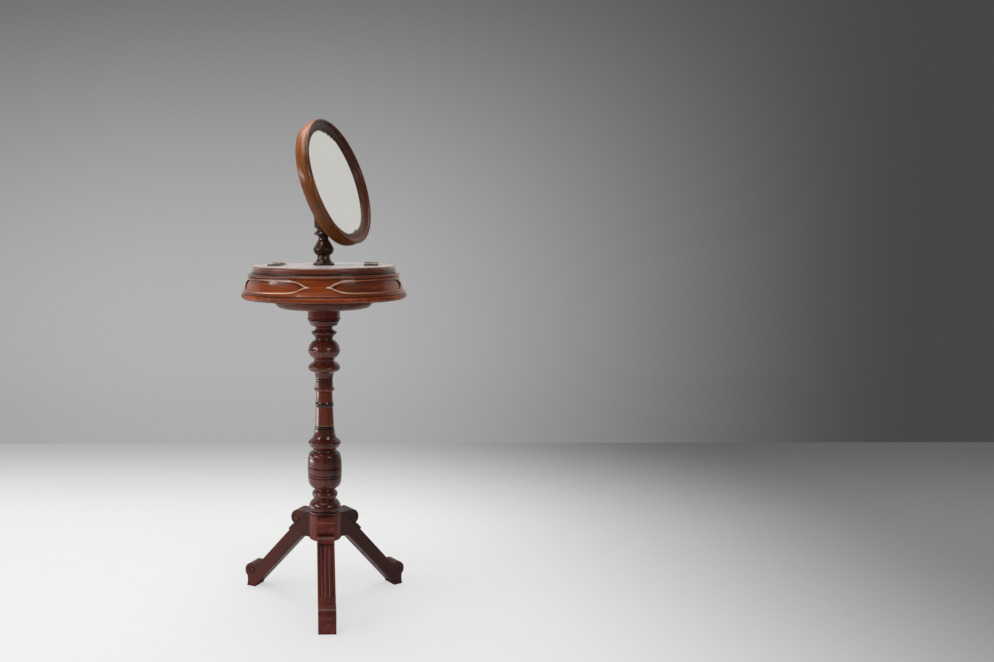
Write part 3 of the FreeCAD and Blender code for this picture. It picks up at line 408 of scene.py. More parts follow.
def band_mask_tree():
    """A ring round a turning, for real bands and for painted light and shade: 1 inside the band,
    with a soft edge.
    """
    tree = new_tree(
        "stained_band", "ShaderNodeTree",
        (("Up", "Float"), ("Middle", "Float"), ("Half", "Float", 0.006)), (("Mask", "Float"),))
    wiring = Wiring(tree)
    given = wiring.add("NodeGroupInput").outputs
    away = wiring.math("ABSOLUTE", wiring.math("SUBTRACT", given["Up"], given["Middle"]))
    inside = wiring.math("SUBTRACT", given["Half"], away)
    wiring.add("NodeGroupOutput", {"Mask": wiring.remap(inside, -0.0008, 0.0008)})
    return tree


def shared_tree(name):
    makers = {
        "wood_figure": wood_figure_tree,
        "handling": handling_tree,
        "polish": polish_tree,
        "stained_band": band_mask_tree,
    }
    return bpy.data.node_groups.get(name) or makers[name]()


# ---- places on a piece ----

def mirror_place():
    """The mirror's own frame: tilt axis along X, glass facing -Y, origin at the pivot."""
    mirror = bpy.context.scene.stand_mirror
    turned = Matrix.Rotation(mirror.turn, 4, "Z") @ Matrix.Rotation(-mirror.lean, 4, "X")
    return Matrix.Translation(PIVOT) @ turned


def back_of(name):
    """How far a mirror piece's back lies behind the tilt axis, along the mirror's own Y."""
    upright = mirror_place().inverted()
    return max((upright @ vertex.co).y for vertex in frame["nodes"][name].data.vertices)


def straight_place(wiring, way):
    """Object coordinates turned so that X runs along the grain."""
    turn = Vector(way).rotation_difference(Vector((1, 0, 0))).to_euler()
    place = wiring.add("ShaderNodeTexCoord").outputs["Object"]
    return wiring.add("ShaderNodeMapping", {"Vector": place, "Rotation": turn})


def seen_from(wiring, place, frame_of):
    """Coordinates seen from a frame that is moved and turned."""
    return wiring.add(
        "ShaderNodeMapping",
        {"Vector": place, "Location": frame_of.translation, "Rotation": frame_of.to_euler()},
        vector_type="TEXTURE")


def distance(wiring, first, second):
    """Distance from the axis, from the two coordinates across it."""
    squares = wiring.math(
        "ADD", wiring.math("MULTIPLY", first, first), wiring.math("MULTIPLY", second, second))
    return wiring.math("SQRT", squares)


def grain_across(wiring):
    return straight_place(wiring, (1, 0, 0))


def grain_upright(wiring):
    return straight_place(wiring, (0, 0, 1))


def ring_place(wiring, radius, frame_of=None, axis="Z"):
    """Coordinates that run round a ring, so that the grain follows it."""
    place = wiring.add("ShaderNodeTexCoord").outputs["Object"]
    if frame_of:
        place = seen_from(wiring, place, frame_of)
    parts = wiring.add("ShaderNodeSeparateXYZ", {0: place}).outputs
    first, second, along = (parts[0], parts[1], parts[2]) if axis == "Z" else (
        parts[0], parts[2], parts[1])
    angle = wiring.math("ARCTAN2", second, first)
    return wiring.add(
        "ShaderNodeCombineXYZ",
        {0: wiring.math("MULTIPLY", angle, radius), 1: distance(wiring, first, second), 2: along})


def grain_round_table(wiring):
    return ring_place(wiring, 0.22)


# ---- finishes ----

def new_material(name):
    material = bpy.data.materials.new(name)
    material.use_nodes = True
    material.node_tree.nodes.clear()
    return material, Wiring(material.node_tree)


def close_material(wiring, surface):
    wiring.add("ShaderNodeOutputMaterial", {"Surface": surface})


def french_polish(name, light, dark, place_maker, flame=0.5, dust_and_reflection=0.04, gloss=1.0, blur=0.14,
                  bands=(), band_axis=None, bare_below=False, bloom=0.0, highlight_fade=None):
    """Old polished wood. place_maker wires the coordinates that the grain follows.

    bands are rings of colour, some of them painted light and shade: middle, half width,
    colour and share, measured along Z, or along the numbered axis of the grain's own
    coordinates. bare_below leaves undersides unpolished.
    bloom is a pale sheen, like a film on old polish, which shows when it is looked along.
    The last argument is a colour that takes over from a painted highlight behind the front:
    where it starts along Y, where it is full, and the colour.
    """
    wood = bpy.context.scene.stand_wood
    material, wiring = new_material(name)
    place = place_maker(wiring)
    figure = group(wiring, shared_tree("wood_figure"), {
        "Place": place, "Light": light, "Dark": dark, "Stripe": wood.stripe, "Flame": flame})
    colour = figure.outputs["Color"]
    if bands:
        spot = wiring.add("ShaderNodeTexCoord").outputs["Object"] if band_axis is None else place
        height = wiring.add("ShaderNodeSeparateXYZ", {0: spot}).outputs[
            2 if band_axis is None else band_axis]
    # each band's colour is a real ring of the wood, or painted light and shade where listed so
    for middle, half, tint, share in bands:
        band = group(wiring, shared_tree("stained_band"), {
            "Up": height, "Middle": middle, "Half": half})
        colour = wiring.blend(wiring.math("MULTIPLY", band, share), colour, tint)
    # a painted highlight gives way to the piece's own colour behind the front
    if highlight_fade:
        start, full, own_colour = highlight_fade
        along = wiring.add("ShaderNodeSeparateXYZ", {
            0: wiring.add("ShaderNodeTexCoord").outputs["Object"]}).outputs[1]
        colour = wiring.blend(wiring.remap(along, start, full), colour, own_colour)
    handled = group(wiring, shared_tree("handling"), {
        "Place": place, "Color": colour, "Grime": wood.hollow_colour, "Wax": wood.darkening,
        "Rub": wood.rub})
    polished = group(wiring, shared_tree("polish"), {
        "Place": place, "Color": handled.outputs["Color"], "Roughness": wood.roughness,
        "Worn": handled.outputs["Worn"], "Dust": dust_and_reflection})
    height = wiring.math(
        "SUBTRACT", figure.outputs["Height"],
        wiring.math("MULTIPLY", polished.outputs["Height"], 0.3))
    eased = wiring.add("ShaderNodeBevel", {"Radius": 0.0013}, samples=4)
    bump = wiring.add("ShaderNodeBump", {
        "Height": height, "Strength": 0.16, "Distance": 0.0004, "Normal": eased})
    if bare_below:
        normal = wiring.add("ShaderNodeNewGeometry").outputs["Normal"]
        up = wiring.add("ShaderNodeSeparateXYZ", {0: normal}).outputs[2]
        gloss = wiring.remap(up, -0.5, -0.2, 0.03, gloss)
    close_material(wiring, wiring.add("ShaderNodeBsdfPrincipled", {
        "Base Color": polished.outputs["Color"], "Roughness": polished.outputs["Roughness"],
        "Specular IOR Level": 0.12, "Coat Weight": gloss, "Coat Roughness": blur,
        "Coat IOR": 1.5, "Sheen Weight": bloom, "Sheen Roughness": 0.35, "Normal": bump}))
    return material


def old_metal(name, clean, tarnish, roughness, share, along=(1, 0, 0)):
    """Metal with tarnish that gathers in its hollows."""
    material, wiring = new_material(name)
    place = straight_place(wiring, along)
    patches = wiring.noise(place, (0.009, 0.009, 0.009), 4, 0.65)
    brushed = wiring.noise(place, (0.02, 0.0004, 0.0004), 2)
    mask = wiring.remap(patches, 0.35, 0.65, share * 0.4, min(1.0, share * 1.5))
    colour = wiring.blend(mask, clean, tarnish)
    handled = group(wiring, shared_tree("handling"), {
        "Place": place, "Color": colour, "Grime": (0.012, 0.009, 0.006), "Wax": 0.8,
        "Rub": 0.0, "Reach": 0.003})
    gloss = wiring.math("ADD", roughness, wiring.math("MULTIPLY", mask, 0.3))
    gloss = wiring.math("ADD", gloss, wiring.math("MULTIPLY", brushed, 0.08), clamp=True)
    bump = wiring.add("ShaderNodeBump", {
        "Height": wiring.math("ADD", brushed, patches), "Strength": 0.12, "Distance": 0.0003})
    close_material(wiring, wiring.add("ShaderNodeBsdfPrincipled", {
        "Base Color": handled.outputs["Color"], "Roughness": gloss, "Metallic": 1.0,
        "Normal": bump}))
    return material


def silvered_glass():
    """Silvered glass whose backing has gone in spots near its edge."""
    mirror = bpy.context.scene.stand_mirror
    material, wiring = new_material("silvered_glass")
    place = seen_from(
        wiring, wiring.add("ShaderNodeTexCoord").outputs["Object"], mirror_place())
    parts = wiring.add("ShaderNodeSeparateXYZ", {0: place}).outputs
    angle = wiring.math("ARCTAN2", parts[2], parts[0])
    from_edge = wiring.math(
        "SUBTRACT", mirror.glass_radius, distance(wiring, parts[0], parts[2]))
    blotches = wiring.noise(place, (0.011, 0.011, 0.011), 5, 0.7)
    specks = wiring.noise(place, (0.0022, 0.0022, 0.0022), 2)
    # the decay is strongest at the upper right and at the foot of the glass
    worst = wiring.math("MAXIMUM", near_angle(wiring, angle, 68, 34),
                        wiring.math("MULTIPLY", near_angle(wiring, angle, -78, 20), 0.8))
    reach = wiring.math("MULTIPLY", mirror.decay, wiring.math("ADD", worst, 0.12))
    depth = wiring.math("DIVIDE", from_edge, reach)
    eaten = wiring.math("SUBTRACT", wiring.math("MULTIPLY", blotches, 1.9), depth)
    gone = wiring.remap(eaten, 0.15, 0.45)
    flecks = wiring.math("MULTIPLY", wiring.remap(specks, 0.7, 0.76),
                         wiring.remap(from_edge, 0.03, 0.0, 0.0, 0.6))
    mask = wiring.math("MAXIMUM", gone, flecks)
    cloud = wiring.remap(wiring.noise(place, (0.09, 0.09, 0.09), 2), 0.3, 0.7, 0.0, 0.1)
    colour = wiring.blend(cloud, tuple(mirror.silver), (0.62, 0.63, 0.6))
    colour = wiring.blend(mask, colour, tuple(mirror.spots))
    gloss = wiring.math("ADD", 0.02, wiring.math("MULTIPLY", mask, 0.35))
    close_material(wiring, wiring.add("ShaderNodeBsdfPrincipled", {
        "Base Color": colour, "Roughness": gloss, "Metallic": 1.0}))
    return material


def near_angle(wiring, angle, middle, half):
    """1 at the middle angle of a ring, fading to 0 at half away from it, in degrees."""
    away = wiring.math("ABSOLUTE", wiring.math("SUBTRACT", angle, math.radians(middle)))
    return wiring.remap(away, math.radians(half), 0.0)


def finish(material, *names):
    """Gives CAD nodes one finish. Their meshes stay as they are."""
    for name in names:
        node = frame["nodes"][name]
        if not node.material_slots:
            node.data.materials.append(material)
        for slot in node.material_slots:
            slot.material = material


# ---- geometry node trees for small fittings ----

def close_fitting(wiring, geometry, material):
    """Ends a tree with real geometry in one material."""
    real = wiring.add("GeometryNodeRealizeInstances", {0: geometry})
    done = wiring.add("GeometryNodeSetMaterial", {"Geometry": real, "Material": material})
    wiring.add("NodeGroupOutput", {0: done})


def screw_heads_tree():
    """Slotted heads on points, each turned its own way."""
    tree = new_tree(
        "screw_heads", "GeometryNodeTree",
        (("Geometry", "Geometry"), ("Head radius", "Float", 0.003), ("Rise", "Float", 0.0005),
         ("Slot", "Float", 0.0008), ("Seed", "Int", 3), ("Finish", "Material")),
        (("Geometry", "Geometry"),))
    wiring = Wiring(tree)
    given = wiring.add("NodeGroupInput").outputs
    # the slot is cut in a ball of radius 1, which is then squashed to the head's size
    ball = wiring.add("GeometryNodeMeshUVSphere", {"Segments": 24, "Rings": 10})
    wiring.feed(ball.inputs["Radius"], 1.0)
    cutter = wiring.add("GeometryNodeMeshCube", {"Size": wiring.add("ShaderNodeCombineXYZ", {
        0: 3.0, 1: wiring.math("DIVIDE", given["Slot"], given["Head radius"]), 2: 1.4})})
    lifted = wiring.add("GeometryNodeTransform", {
        "Geometry": cutter, "Translation": (0, 0, 1)})
    cut = wiring.add("GeometryNodeMeshBoolean", operation="DIFFERENCE", solver="EXACT")
    wiring.feed(cut.inputs[0], ball)
    wiring.feed(cut.inputs[1], lifted)
    head = wiring.add("GeometryNodeTransform", {
        "Geometry": cut, "Scale": wiring.add("ShaderNodeCombineXYZ", {
            0: given["Head radius"], 1: given["Head radius"], 2: given["Rise"]})})
    spin = wiring.add("FunctionNodeRandomValue", data_type="FLOAT")
    wiring.feed(spin.inputs[2], 0.0)
    wiring.feed(spin.inputs[3], math.pi)
    wiring.feed(spin.inputs["Seed"], given["Seed"])
    turn = wiring.add("ShaderNodeCombineXYZ", {2: spin.outputs[1]})
    placed = wiring.add("GeometryNodeInstanceOnPoints", {
        "Points": given["Geometry"], "Instance": head,
        "Rotation": wiring.add("FunctionNodeEulerToRotation", {0: turn})})
    close_fitting(wiring, placed, given["Finish"])
    return tree


def pin_ring_tree():
    """Short pins round a circle, each lying along its own radius."""
    tree = new_tree(
        "pin_ring", "GeometryNodeTree",
        (("Geometry", "Geometry"), ("Count", "Int", 12), ("Ring radius", "Float", 0.15),
         ("Pin radius", "Float", 0.0007), ("Pin length", "Float", 0.011),
         ("Finish", "Material")),
        (("Geometry", "Geometry"),))
    wiring = Wiring(tree)
    given = wiring.add("NodeGroupInput").outputs
    circle = wiring.add("GeometryNodeMeshCircle", {
        "Vertices": given["Count"], "Radius": given["Ring radius"]})
    pin = wiring.add("GeometryNodeMeshCylinder", {
        "Vertices": 8, "Radius": given["Pin radius"], "Depth": given["Pin length"]})
    laid = wiring.add("GeometryNodeTransform", {
        "Geometry": pin.outputs["Mesh"], "Rotation": (0, math.pi / 2, 0)})
    step = wiring.math("DIVIDE", math.tau, given["Count"])
    angle = wiring.math("MULTIPLY", wiring.add("GeometryNodeInputIndex"), step)
    turn = wiring.add("ShaderNodeCombineXYZ", {2: angle})
    placed = wiring.add("GeometryNodeInstanceOnPoints", {
        "Points": circle, "Instance": laid,
        "Rotation": wiring.add("FunctionNodeEulerToRotation", {0: turn})})
    close_fitting(wiring, placed, given["Finish"])
    return tree


def bead_line_tree():
    """A round bead that follows closed lines."""
    tree = new_tree(
        "bead_line", "GeometryNodeTree",
        (("Geometry", "Geometry"), ("Radius", "Float", 0.0022), ("Step", "Float", 0.002),
         ("Sides", "Int", 14), ("Finish", "Material")),
        (("Geometry", "Geometry"),))
    wiring = Wiring(tree)
    given = wiring.add("NodeGroupInput").outputs
    line = wiring.add("GeometryNodeMeshToCurve", {0: given["Geometry"]})
    even = wiring.add("GeometryNodeResampleCurve", {"Curve": line}, mode="LENGTH")
    wiring.feed(even.inputs["Length"], given["Step"])
    ring = wiring.add("GeometryNodeCurvePrimitiveCircle", mode="RADIUS")
    wiring.feed(ring.inputs["Resolution"], given["Sides"])
    wiring.feed(ring.inputs["Radius"], given["Radius"])
    tube = wiring.add("GeometryNodeCurveToMesh", {"Curve": even, "Profile Curve": ring})
    close_fitting(wiring, tube, given["Finish"])
    return tree


def grow(name, tree, values, points=((0, 0, 0),), edges=(), place=None):
    """Runs a geometry node tree on points or lines and keeps the result as a plain mesh."""
    seed_mesh = bpy.data.meshes.new(name + "_points")
    seed_mesh.from_pydata([tuple(point) for point in points], list(edges), [])
    seed = bpy.data.objects.new(name + "_points", seed_mesh)
    bpy.context.scene.collection.objects.link(seed)
    modifier = seed.modifiers.new("grow", "NODES")
    modifier.node_group = tree
    for item in tree.interface.items_tree:
        if item.in_out == "INPUT" and item.name in values:
            modifier[item.identifier] = values[item.name]
    bpy.context.view_layer.update()
    grown = bpy.data.meshes.new_from_object(
        seed.evaluated_get(bpy.context.evaluated_depsgraph_get()))
    seed.modifiers.remove(modifier)
    bpy.data.objects.remove(seed)
    if place:
        grown.transform(place)
    for polygon in grown.polygons:
        polygon.use_smooth = True
    grown.name = name
    piece = bpy.data.objects.new(name, grown)
    bpy.context.scene.collection.objects.link(piece)
    if not len(grown.vertices):
        raise RuntimeError(name + " came out empty")
    return piece


# ---- operators: one for each group of pieces ----

class STAND_OT_polish_table(bpy.types.Operator):
    """Polishes the frieze, lids, boards and wells of the table"""

    bl_idname = "stand.polish_table"
    bl_label = "Polish table"

    def execute(self, context):
        wood = context.scene.stand_wood
        # the frieze's dark lines at its foot and its top edge are painted shade
        finish(french_polish(
            "frieze_mahogany", wood.table_light, wood.table_dark,
            grain_round_table, flame=0.62, gloss=0.7, bands=FRIEZE_SHADE_LINES), "frieze_ring")
        # the lids' pale, dusty film on their tops is also painted reflection
        for name in ("lid_front", "lid_bridge", "lid_rear"):
            finish(french_polish(
                name + "_mahogany", wood.board_light, wood.board_dark,
                grain_across, dust_and_reflection=0.26, gloss=0.6, blur=0.26, bloom=0.62), name)
        # painted light: the base board's colours are lightened
        finish(french_polish(
            "board_mahogany", lighter(wood.table_light, 1.3), lighter(wood.table_dark, 1.3),
            grain_across, gloss=0.3), "base_board")
        # painted shade: the disc under the table is darkened
        finish(french_polish(
            "disc_mahogany", lighter(wood.board_light, 0.75), lighter(wood.board_dark, 0.75),
            grain_across, gloss=0.3), "mount_disc")
        finish(french_polish(
            "well_mahogany", wood.board_light, wood.board_dark, grain_across, gloss=0.25,
            dust_and_reflection=0.15), "well_wall_front", "well_wall_rear")
        return {"FINISHED"}


class STAND_OT_add_panel_beads(bpy.types.Operator):
    """Lays a fine round bead along the outline of each carved panel of the frieze"""

    bl_idname = "stand.add_panel_beads"
    bl_label = "Add panel beads"

    def execute(self, context):
        wood = context.scene.stand_wood
        points = []
        edges = []
        outline = self.panel_outline()
        for panel in range(PANEL_COUNT):
            turned = Matrix.Rotation(math.radians(45 + 360 / PANEL_COUNT * panel), 4, "Z")
            first = len(points)
            for across, high in outline:
                radius = self.face_radius(high) + BEAD_LIFT
                deep = math.sqrt(radius * radius - across * across)
                points.append(turned @ Vector((across, -deep, FRIEZE_FOOT + high)))
                edges.append((len(points) - 1, len(points)))
            edges[-1] = (len(points) - 1, first)
        # the beads are painted pale as a highlight, fading to their own colour behind the front
        finish_of_bead = french_polish(
            "rubbed_bead", wood.bead_highlight, wood.table_light, grain_round_table, dust_and_reflection=0.0,
            highlight_fade=(-0.19, -0.125, wood.bead_plain))
        beads = grow("panel_beads", bead_line_tree(), {
            "Radius": wood.bead_radius, "Finish": finish_of_bead}, points, edges)
        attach(beads, "stand")
        return {"FINISHED"}

    def face_radius(self, high):
        """Radius of the hollow face of the frieze at a height above its foot."""
        foot, neck = Vector(FACE_FOOT), Vector(FACE_NECK)
        chord = (neck - foot).length
        bend = chord * (1 + 4 * FACE_SAG * FACE_SAG) / (8 * FACE_SAG)
        middle = (foot + neck) / 2
        out = Vector((neck.y - foot.y, foot.x - neck.x)).normalized()
        centre = middle + out * (bend - chord * FACE_SAG)
        return centre.x - math.sqrt(bend * bend - (high - centre.y) ** 2)

    def panel_outline(self):
        """The pointed outline (along, up); its lower half is the upper one turned half round."""
        upper = []
        for start, end, bulge in PANEL_ARCS:
            start, end = Vector(start), Vector(end)
            run = end - start
            side = Vector((run.y, -run.x))
            steps = max(4, int(run.length / 0.003))
            for step in range(steps):
                share = step / steps
                upper.append(start + run * share + side * (bulge * 4 * share * (1 - share)))
        line = [(spot.x, PANEL_MIDDLE + spot.y) for spot in upper]
        return line + [(-spot.x, PANEL_MIDDLE - spot.y) for spot in upper]


class STAND_OT_polish_column(bpy.types.Operator):
    """Polishes the turned column and colours its rings, some as painted light and shade"""

    bl_idname = "stand.polish_column"
    bl_label = "Polish column"

    def execute(self, context):
        wood = context.scene.stand_wood
        # some of the column's rings are painted light and shade
        finish(french_polish(
            "column_mahogany", wood.shaft_light, wood.shaft_dark, grain_upright, gloss=0.7,
            bands=COLUMN_BANDS), "column")
        return {"FINISHED"}


class STAND_OT_polish_tripod(bpy.types.Operator):
    """Polishes the hub and the legs, with the grain along each leg"""

    bl_idname = "stand.polish_tripod"
    bl_label = "Polish tripod"

    def execute(self, context):
        wood = context.scene.stand_wood
        # painted light and shade: the hub, the front and the left leg are lightened, the right leg
        # darkened
        finish(french_polish(
            "hub_mahogany", lighter(wood.leg_light, HUB_PAINTED_LIGHT), lighter(wood.leg_dark, HUB_PAINTED_LIGHT),
            grain_upright, gloss=0.25), "hub")
        for name, share in LEG_PAINTED_LIGHT:
            low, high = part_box(name)
            middle = (low + high) / 2
            level = Vector((middle.x, middle.y, 0)).normalized()
            way = level - Vector((0, 0, LEG_FALL))
            finish(french_polish(
                name + "_mahogany", lighter(wood.leg_light, share),
                lighter(wood.leg_dark, share),
                lambda wiring, way=way: straight_place(wiring, way.normalized()), gloss=0.26,
                bare_below=True), name)
        return {"FINISHED"}


class STAND_OT_polish_post(bpy.types.Operator):
    """Gives the mirror post its dark finish"""

    bl_idname = "stand.polish_post"
    bl_label = "Polish mirror post"

    def execute(self, context):
        wood = context.scene.stand_wood
        finish(french_polish(
            "post_dark_wood", wood.post_light, wood.post_dark, grain_upright, gloss=0.7),
            "mirror_post")
        return {"FINISHED"}


class STAND_OT_finish_mirror(bpy.types.Operator):
    """Finishes the mirror's frame, glass and backboard"""

    bl_idname = "stand.finish_mirror"
    bl_label = "Finish mirror"

    def execute(self, context):
        wood = context.scene.stand_wood
        frame_of = mirror_place()
        upright = frame_of.to_3x3() @ Vector((0, 0, 1))
        # the frame's front face is darkened as painted shade
        front_shade = (
            FRAME_SHADE_MIDDLE, FRAME_SHADE_HALF, tuple(wood.rim_front_shade), FRAME_SHADE_SHARE)
        finish(french_polish(
            "mirror_frame_mahogany", wood.rim_light, wood.rim_dark,
            lambda wiring: ring_place(wiring, 0.17, frame_of, "Y"), flame=0.6, gloss=0.36,
            blur=0.2, bands=(front_shade,), band_axis=1), "mirror_frame")
        finish(silvered_glass(), "mirror_glass")
        finish(french_polish(
            "backboard_pine", wood.pine_light, wood.pine_dark,
            lambda wiring: straight_place(wiring, upright), gloss=0.05, dust_and_reflection=0.1),
            "mirror_backboard")
        return {"FINISHED"}


class STAND_OT_finish_metalwork(bpy.types.Operator):
    """Finishes the hinges, the rod, the screws and the tilt fitting"""

    bl_idname = "stand.finish_metalwork"
    bl_label = "Finish metalwork"

    def execute(self, context):
        metal = context.scene.stand_metal
        hinges = old_metal("hinge_brass", tuple(metal.hinge), tuple(metal.tarnish), 0.55, 0.3)
        for corner in CORNERS:
            finish(hinges, "hinge_fixed_" + corner, "hinge_leaf_" + corner,
                   "hinge_pin_" + corner)
        finish(old_metal(
            "dull_brass", tuple(metal.brass), tuple(metal.tarnish), 0.3, 0.45),
            "clamp_screw", "tilt_pin", "tilt_nut", "tilt_knuckle")
        finish(old_metal(
            "rod_steel", tuple(metal.steel), (0.09, 0.075, 0.06), 0.28, 0.3, (0, 0, 1)),
            "lift_rod")
        return {"FINISHED"}


class STAND_OT_add_hinge_screws(bpy.types.Operator):
    """Adds the slotted screws of the hinge leaves"""

    bl_idname = "stand.add_hinge_screws"
    bl_label = "Add hinge screws"

    def execute(self, context):
        metal = context.scene.stand_metal
        tree = screw_heads_tree()
        groups = (
            ("stand", "hinge_fixed_", CORNERS),
            ("lid_front", "hinge_leaf_", CORNERS[:2]),
            ("lid_rear", "hinge_leaf_", CORNERS[2:]))
        for body, kind, corners in groups:
            spots = []
            for corner in corners:
                spots.extend(self.screw_spots(kind + corner, corner.startswith("front")))
            screws = grow("hinge_screws_" + body, tree, {
                "Head radius": metal.head, "Rise": metal.rise, "Slot": metal.slot,
                "Seed": len(body), "Finish": bpy.data.materials["dull_brass"]}, spots)
            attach(screws, body)
        return {"FINISHED"}

    def screw_spots(self, leaf, front):
        """Two spots on the top of a leaf, clear of its knuckles."""
        low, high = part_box(leaf)
        line = JOINTS["lid_front_hinge" if front else "lid_rear_hinge"]["pos_m"]
        away = low.y if abs(low.y - line[1]) > abs(high.y - line[1]) else high.y
        along = line[1] + 0.62 * (away - line[1])
        top = line[2] - 0.0019
        middle = (low.x + high.x) / 2
        spread = 0.29 * (high.x - low.x)
        return [(middle - spread, along, top), (middle + spread, along, top)]


class STAND_OT_add_mirror_fixings(bpy.types.Operator):
    """Adds the screws of the brass plate and the pins that hold the backboard"""

    bl_idname = "stand.add_mirror_fixings"
    bl_label = "Add mirror fixings"

    def execute(self, context):
        mirror = context.scene.stand_mirror
        metal = context.scene.stand_metal
        # the back of the mirror is a plane whose own Z points out of its back
        face = mirror_place() @ Matrix.Rotation(math.radians(-90), 4, "X")
        plate = back_of("mirror_backboard") + 0.003
        spots = [(across, up, plate) for across in (-0.015, 0.015) for up in (-0.019, 0.019)]
        screws = grow("plate_screws", bpy.data.node_groups["screw_heads"], {
            "Head radius": 0.0034, "Rise": 0.0014, "Slot": metal.slot, "Seed": 5,
            "Finish": bpy.data.materials["dull_brass"]}, spots, place=face)
        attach(screws, "mirror")
        pins = grow("backboard_pins", pin_ring_tree(), {
            "Count": mirror.pins, "Ring radius": mirror.glass_radius + 0.001,
            "Finish": bpy.data.materials["rod_steel"]},
            place=face @ Matrix.Translation((0, 0, back_of("mirror_backboard") + 0.0008)))
        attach(pins, "mirror")
        return {"FINISHED"}


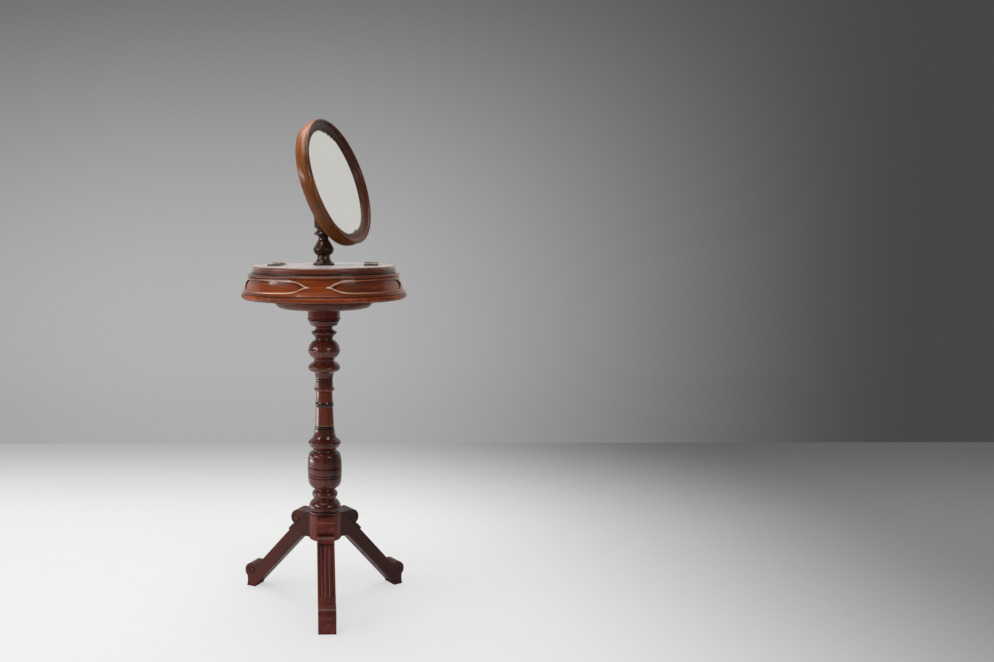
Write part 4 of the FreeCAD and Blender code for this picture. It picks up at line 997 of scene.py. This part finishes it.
class STAND_OT_build_studio(bpy.types.Operator):
    """Sets up the floor, the wall, the lamps and the camera"""

    bl_idname = "stand.build_studio"
    bl_label = "Build studio"

    def execute(self, context):
        studio = context.scene.stand_studio
        context.scene.view_settings.view_transform = "Standard"
        self.lay_floor(studio)
        self.stand_wall(studio)
        self.light_room(context, studio)
        self.set_camera(context, studio)
        return {"FINISHED"}

    def flat(self, name, corners, material):
        mesh = bpy.data.meshes.new(name)
        mesh.from_pydata(corners, [], [range(4)])
        mesh.materials.append(material)
        plane = bpy.data.objects.new(name, mesh)
        bpy.context.scene.collection.objects.link(plane)

    def lay_floor(self, studio):
        material, wiring = new_material("studio_floor")
        spot = wiring.add("ShaderNodeTexCoord").outputs["Object"]
        parts = wiring.add("ShaderNodeSeparateXYZ", {0: spot}).outputs
        # the light falls off to the right and towards the wall
        aside = wiring.math("ADD", parts[0], wiring.math("MULTIPLY", parts[1], 0.2))
        level = wiring.math("MULTIPLY", wiring.remap(aside, 0.2, 2.3, 1.0, 0.29),
                            wiring.remap(parts[1], 0.65, 2.3, 1.0, 0.5))
        colour = wiring.blend(level, (0, 0, 0), tuple(studio.floor))
        lit = wiring.add("ShaderNodeBsdfPrincipled", {
            "Base Color": colour, "Roughness": 0.6, "Specular IOR Level": 0.2})
        # to the camera part of the floor's own paleness shows, which softens the shadow
        shown = wiring.add("ShaderNodeEmission", {"Color": colour, "Strength": 1.0})
        seen = wiring.add("ShaderNodeLightPath").outputs["Is Camera Ray"]
        share = wiring.math("MULTIPLY", seen, 1 - studio.shade)
        close_material(wiring, wiring.add("ShaderNodeMixShader", {0: share, 1: lit, 2: shown}))
        back = studio.wall_back + 0.4
        self.flat("studio_floor", (
            (-6, -7, 0), (7, -7, 0), (7, back, 0), (-6, back, 0)), material)

    def stand_wall(self, studio):
        material, wiring = new_material("studio_wall")
        spot = wiring.add("ShaderNodeTexCoord").outputs["Object"]
        parts = wiring.add("ShaderNodeSeparateXYZ", {0: spot}).outputs
        # painted light: the wall is darker to the right and upwards, and a little near the floor
        # and at the far left
        level = wiring.math("MULTIPLY", wiring.remap(parts[0], -0.35, 2.8, 1.0, 0.0),
                            wiring.remap(parts[2], 0.6, 3.1, 1.0, 0.0))
        level = wiring.math("MULTIPLY", level, wiring.remap(parts[2], 0.0, 0.5, 0.92, 1.0))
        level = wiring.math("MULTIPLY", level, wiring.remap(parts[0], -2.4, -0.9, 0.86, 1.0))
        colour = wiring.blend(level, tuple(studio.wall_far), tuple(studio.wall))
        seen = wiring.add("ShaderNodeLightPath").outputs["Is Camera Ray"]
        shown = wiring.add("ShaderNodeEmission", {"Color": colour, "Strength": 1.0})
        # the polish and the glass reflect a plain pale wall, not what the camera sees of it
        plain = wiring.add("ShaderNodeEmission", {"Color": paint(208, 206, 202)})
        lit = wiring.add("ShaderNodeMixShader", {0: seen, 1: plain, 2: shown})
        # from behind the wall is clear, so that it never hides the stand
        behind = wiring.add("ShaderNodeNewGeometry").outputs["Backfacing"]
        close_material(wiring, wiring.add("ShaderNodeMixShader", {
            0: behind, 1: lit, 2: wiring.add("ShaderNodeBsdfTransparent")}))
        back = studio.wall_back
        slant = math.tan(math.radians(3.3))
        self.flat("studio_wall", (
            (-5, back - 5 * slant, 0), (7, back + 7 * slant, 0), (7, back + 7 * slant, 4.2),
            (-5, back - 5 * slant, 4.2)), material)

    def light_room(self, context, studio):
        world = bpy.data.worlds.new("studio_sky")
        world.use_nodes = True
        world.node_tree.nodes["Background"].inputs["Color"].default_value = (1, 1, 1, 1)
        world.node_tree.nodes["Background"].inputs["Strength"].default_value = studio.sky
        context.scene.world = world
        for name, place, target, size, spread in LAMPS:
            self.lamp(name, place, target, size, getattr(studio, name), spread)

    def lamp(self, name, place, target, size, watts, spread):
        light = bpy.data.lights.new(name, "AREA")
        light.spread = math.radians(spread)
        light.shape = "RECTANGLE"
        light.size, light.size_y = size
        light.energy = watts
        holder = bpy.data.objects.new(name, light)
        holder.location = place
        aim = Vector(target) - Vector(place)
        holder.rotation_euler = aim.to_track_quat("-Z", "Y").to_euler()
        holder.visible_camera = False
        bpy.context.scene.collection.objects.link(holder)

    def set_camera(self, context, studio):
        lens = bpy.data.cameras.new("camera")
        lens.lens = studio.lens
        lens.sensor_width = 36
        lens.shift_x = studio.shift
        lens.dof.use_dof = False
        camera = bpy.data.objects.new("camera", lens)
        round_by = studio.round_by
        camera.matrix_world = (
            Matrix.Rotation(round_by, 4, "Z")
            @ Matrix.Translation((0, -studio.distance, studio.height))
            @ Matrix.Rotation(math.radians(90) - studio.pitch, 4, "X")
            @ Matrix.Rotation(studio.roll, 4, "Z"))
        context.scene.collection.objects.link(camera)
        context.scene.camera = camera


STEPS = (
    STAND_OT_build_studio,
    STAND_OT_polish_table,
    STAND_OT_add_panel_beads,
    STAND_OT_polish_column,
    STAND_OT_polish_tripod,
    STAND_OT_polish_post,
    STAND_OT_finish_mirror,
    STAND_OT_finish_metalwork,
    STAND_OT_add_hinge_screws,
    STAND_OT_add_mirror_fixings,
)


class STAND_PT_panel(bpy.types.Panel):
    """Lists the steps that finish the stand."""

    bl_idname = "STAND_PT_panel"
    bl_label = "Dressing stand"
    bl_space_type = "VIEW_3D"
    bl_region_type = "UI"
    bl_category = "Dressing stand"

    def draw(self, context):
        for step in STEPS:
            self.layout.operator(step.bl_idname)
        for name, settings in SETTINGS:
            box = self.layout.box()
            box.label(text=settings.__name__)
            for label in settings.__annotations__:
                box.prop(getattr(context.scene, name), label)


def register():
    for name, settings in SETTINGS:
        bpy.utils.register_class(settings)
        setattr(bpy.types.Scene, name, PointerProperty(type=settings))
    for made in (*STEPS, STAND_PT_panel):
        bpy.utils.register_class(made)


def unregister():
    for made in (STAND_PT_panel, *reversed(STEPS)):
        bpy.utils.unregister_class(made)
    for name, settings in reversed(SETTINGS):
        delattr(bpy.types.Scene, name)
        bpy.utils.unregister_class(settings)


def main():
    register()
    for step in STEPS:
        family, name = step.bl_idname.split(".")
        getattr(getattr(bpy.ops, family), name)()


if __name__ == "__main__":
    main()
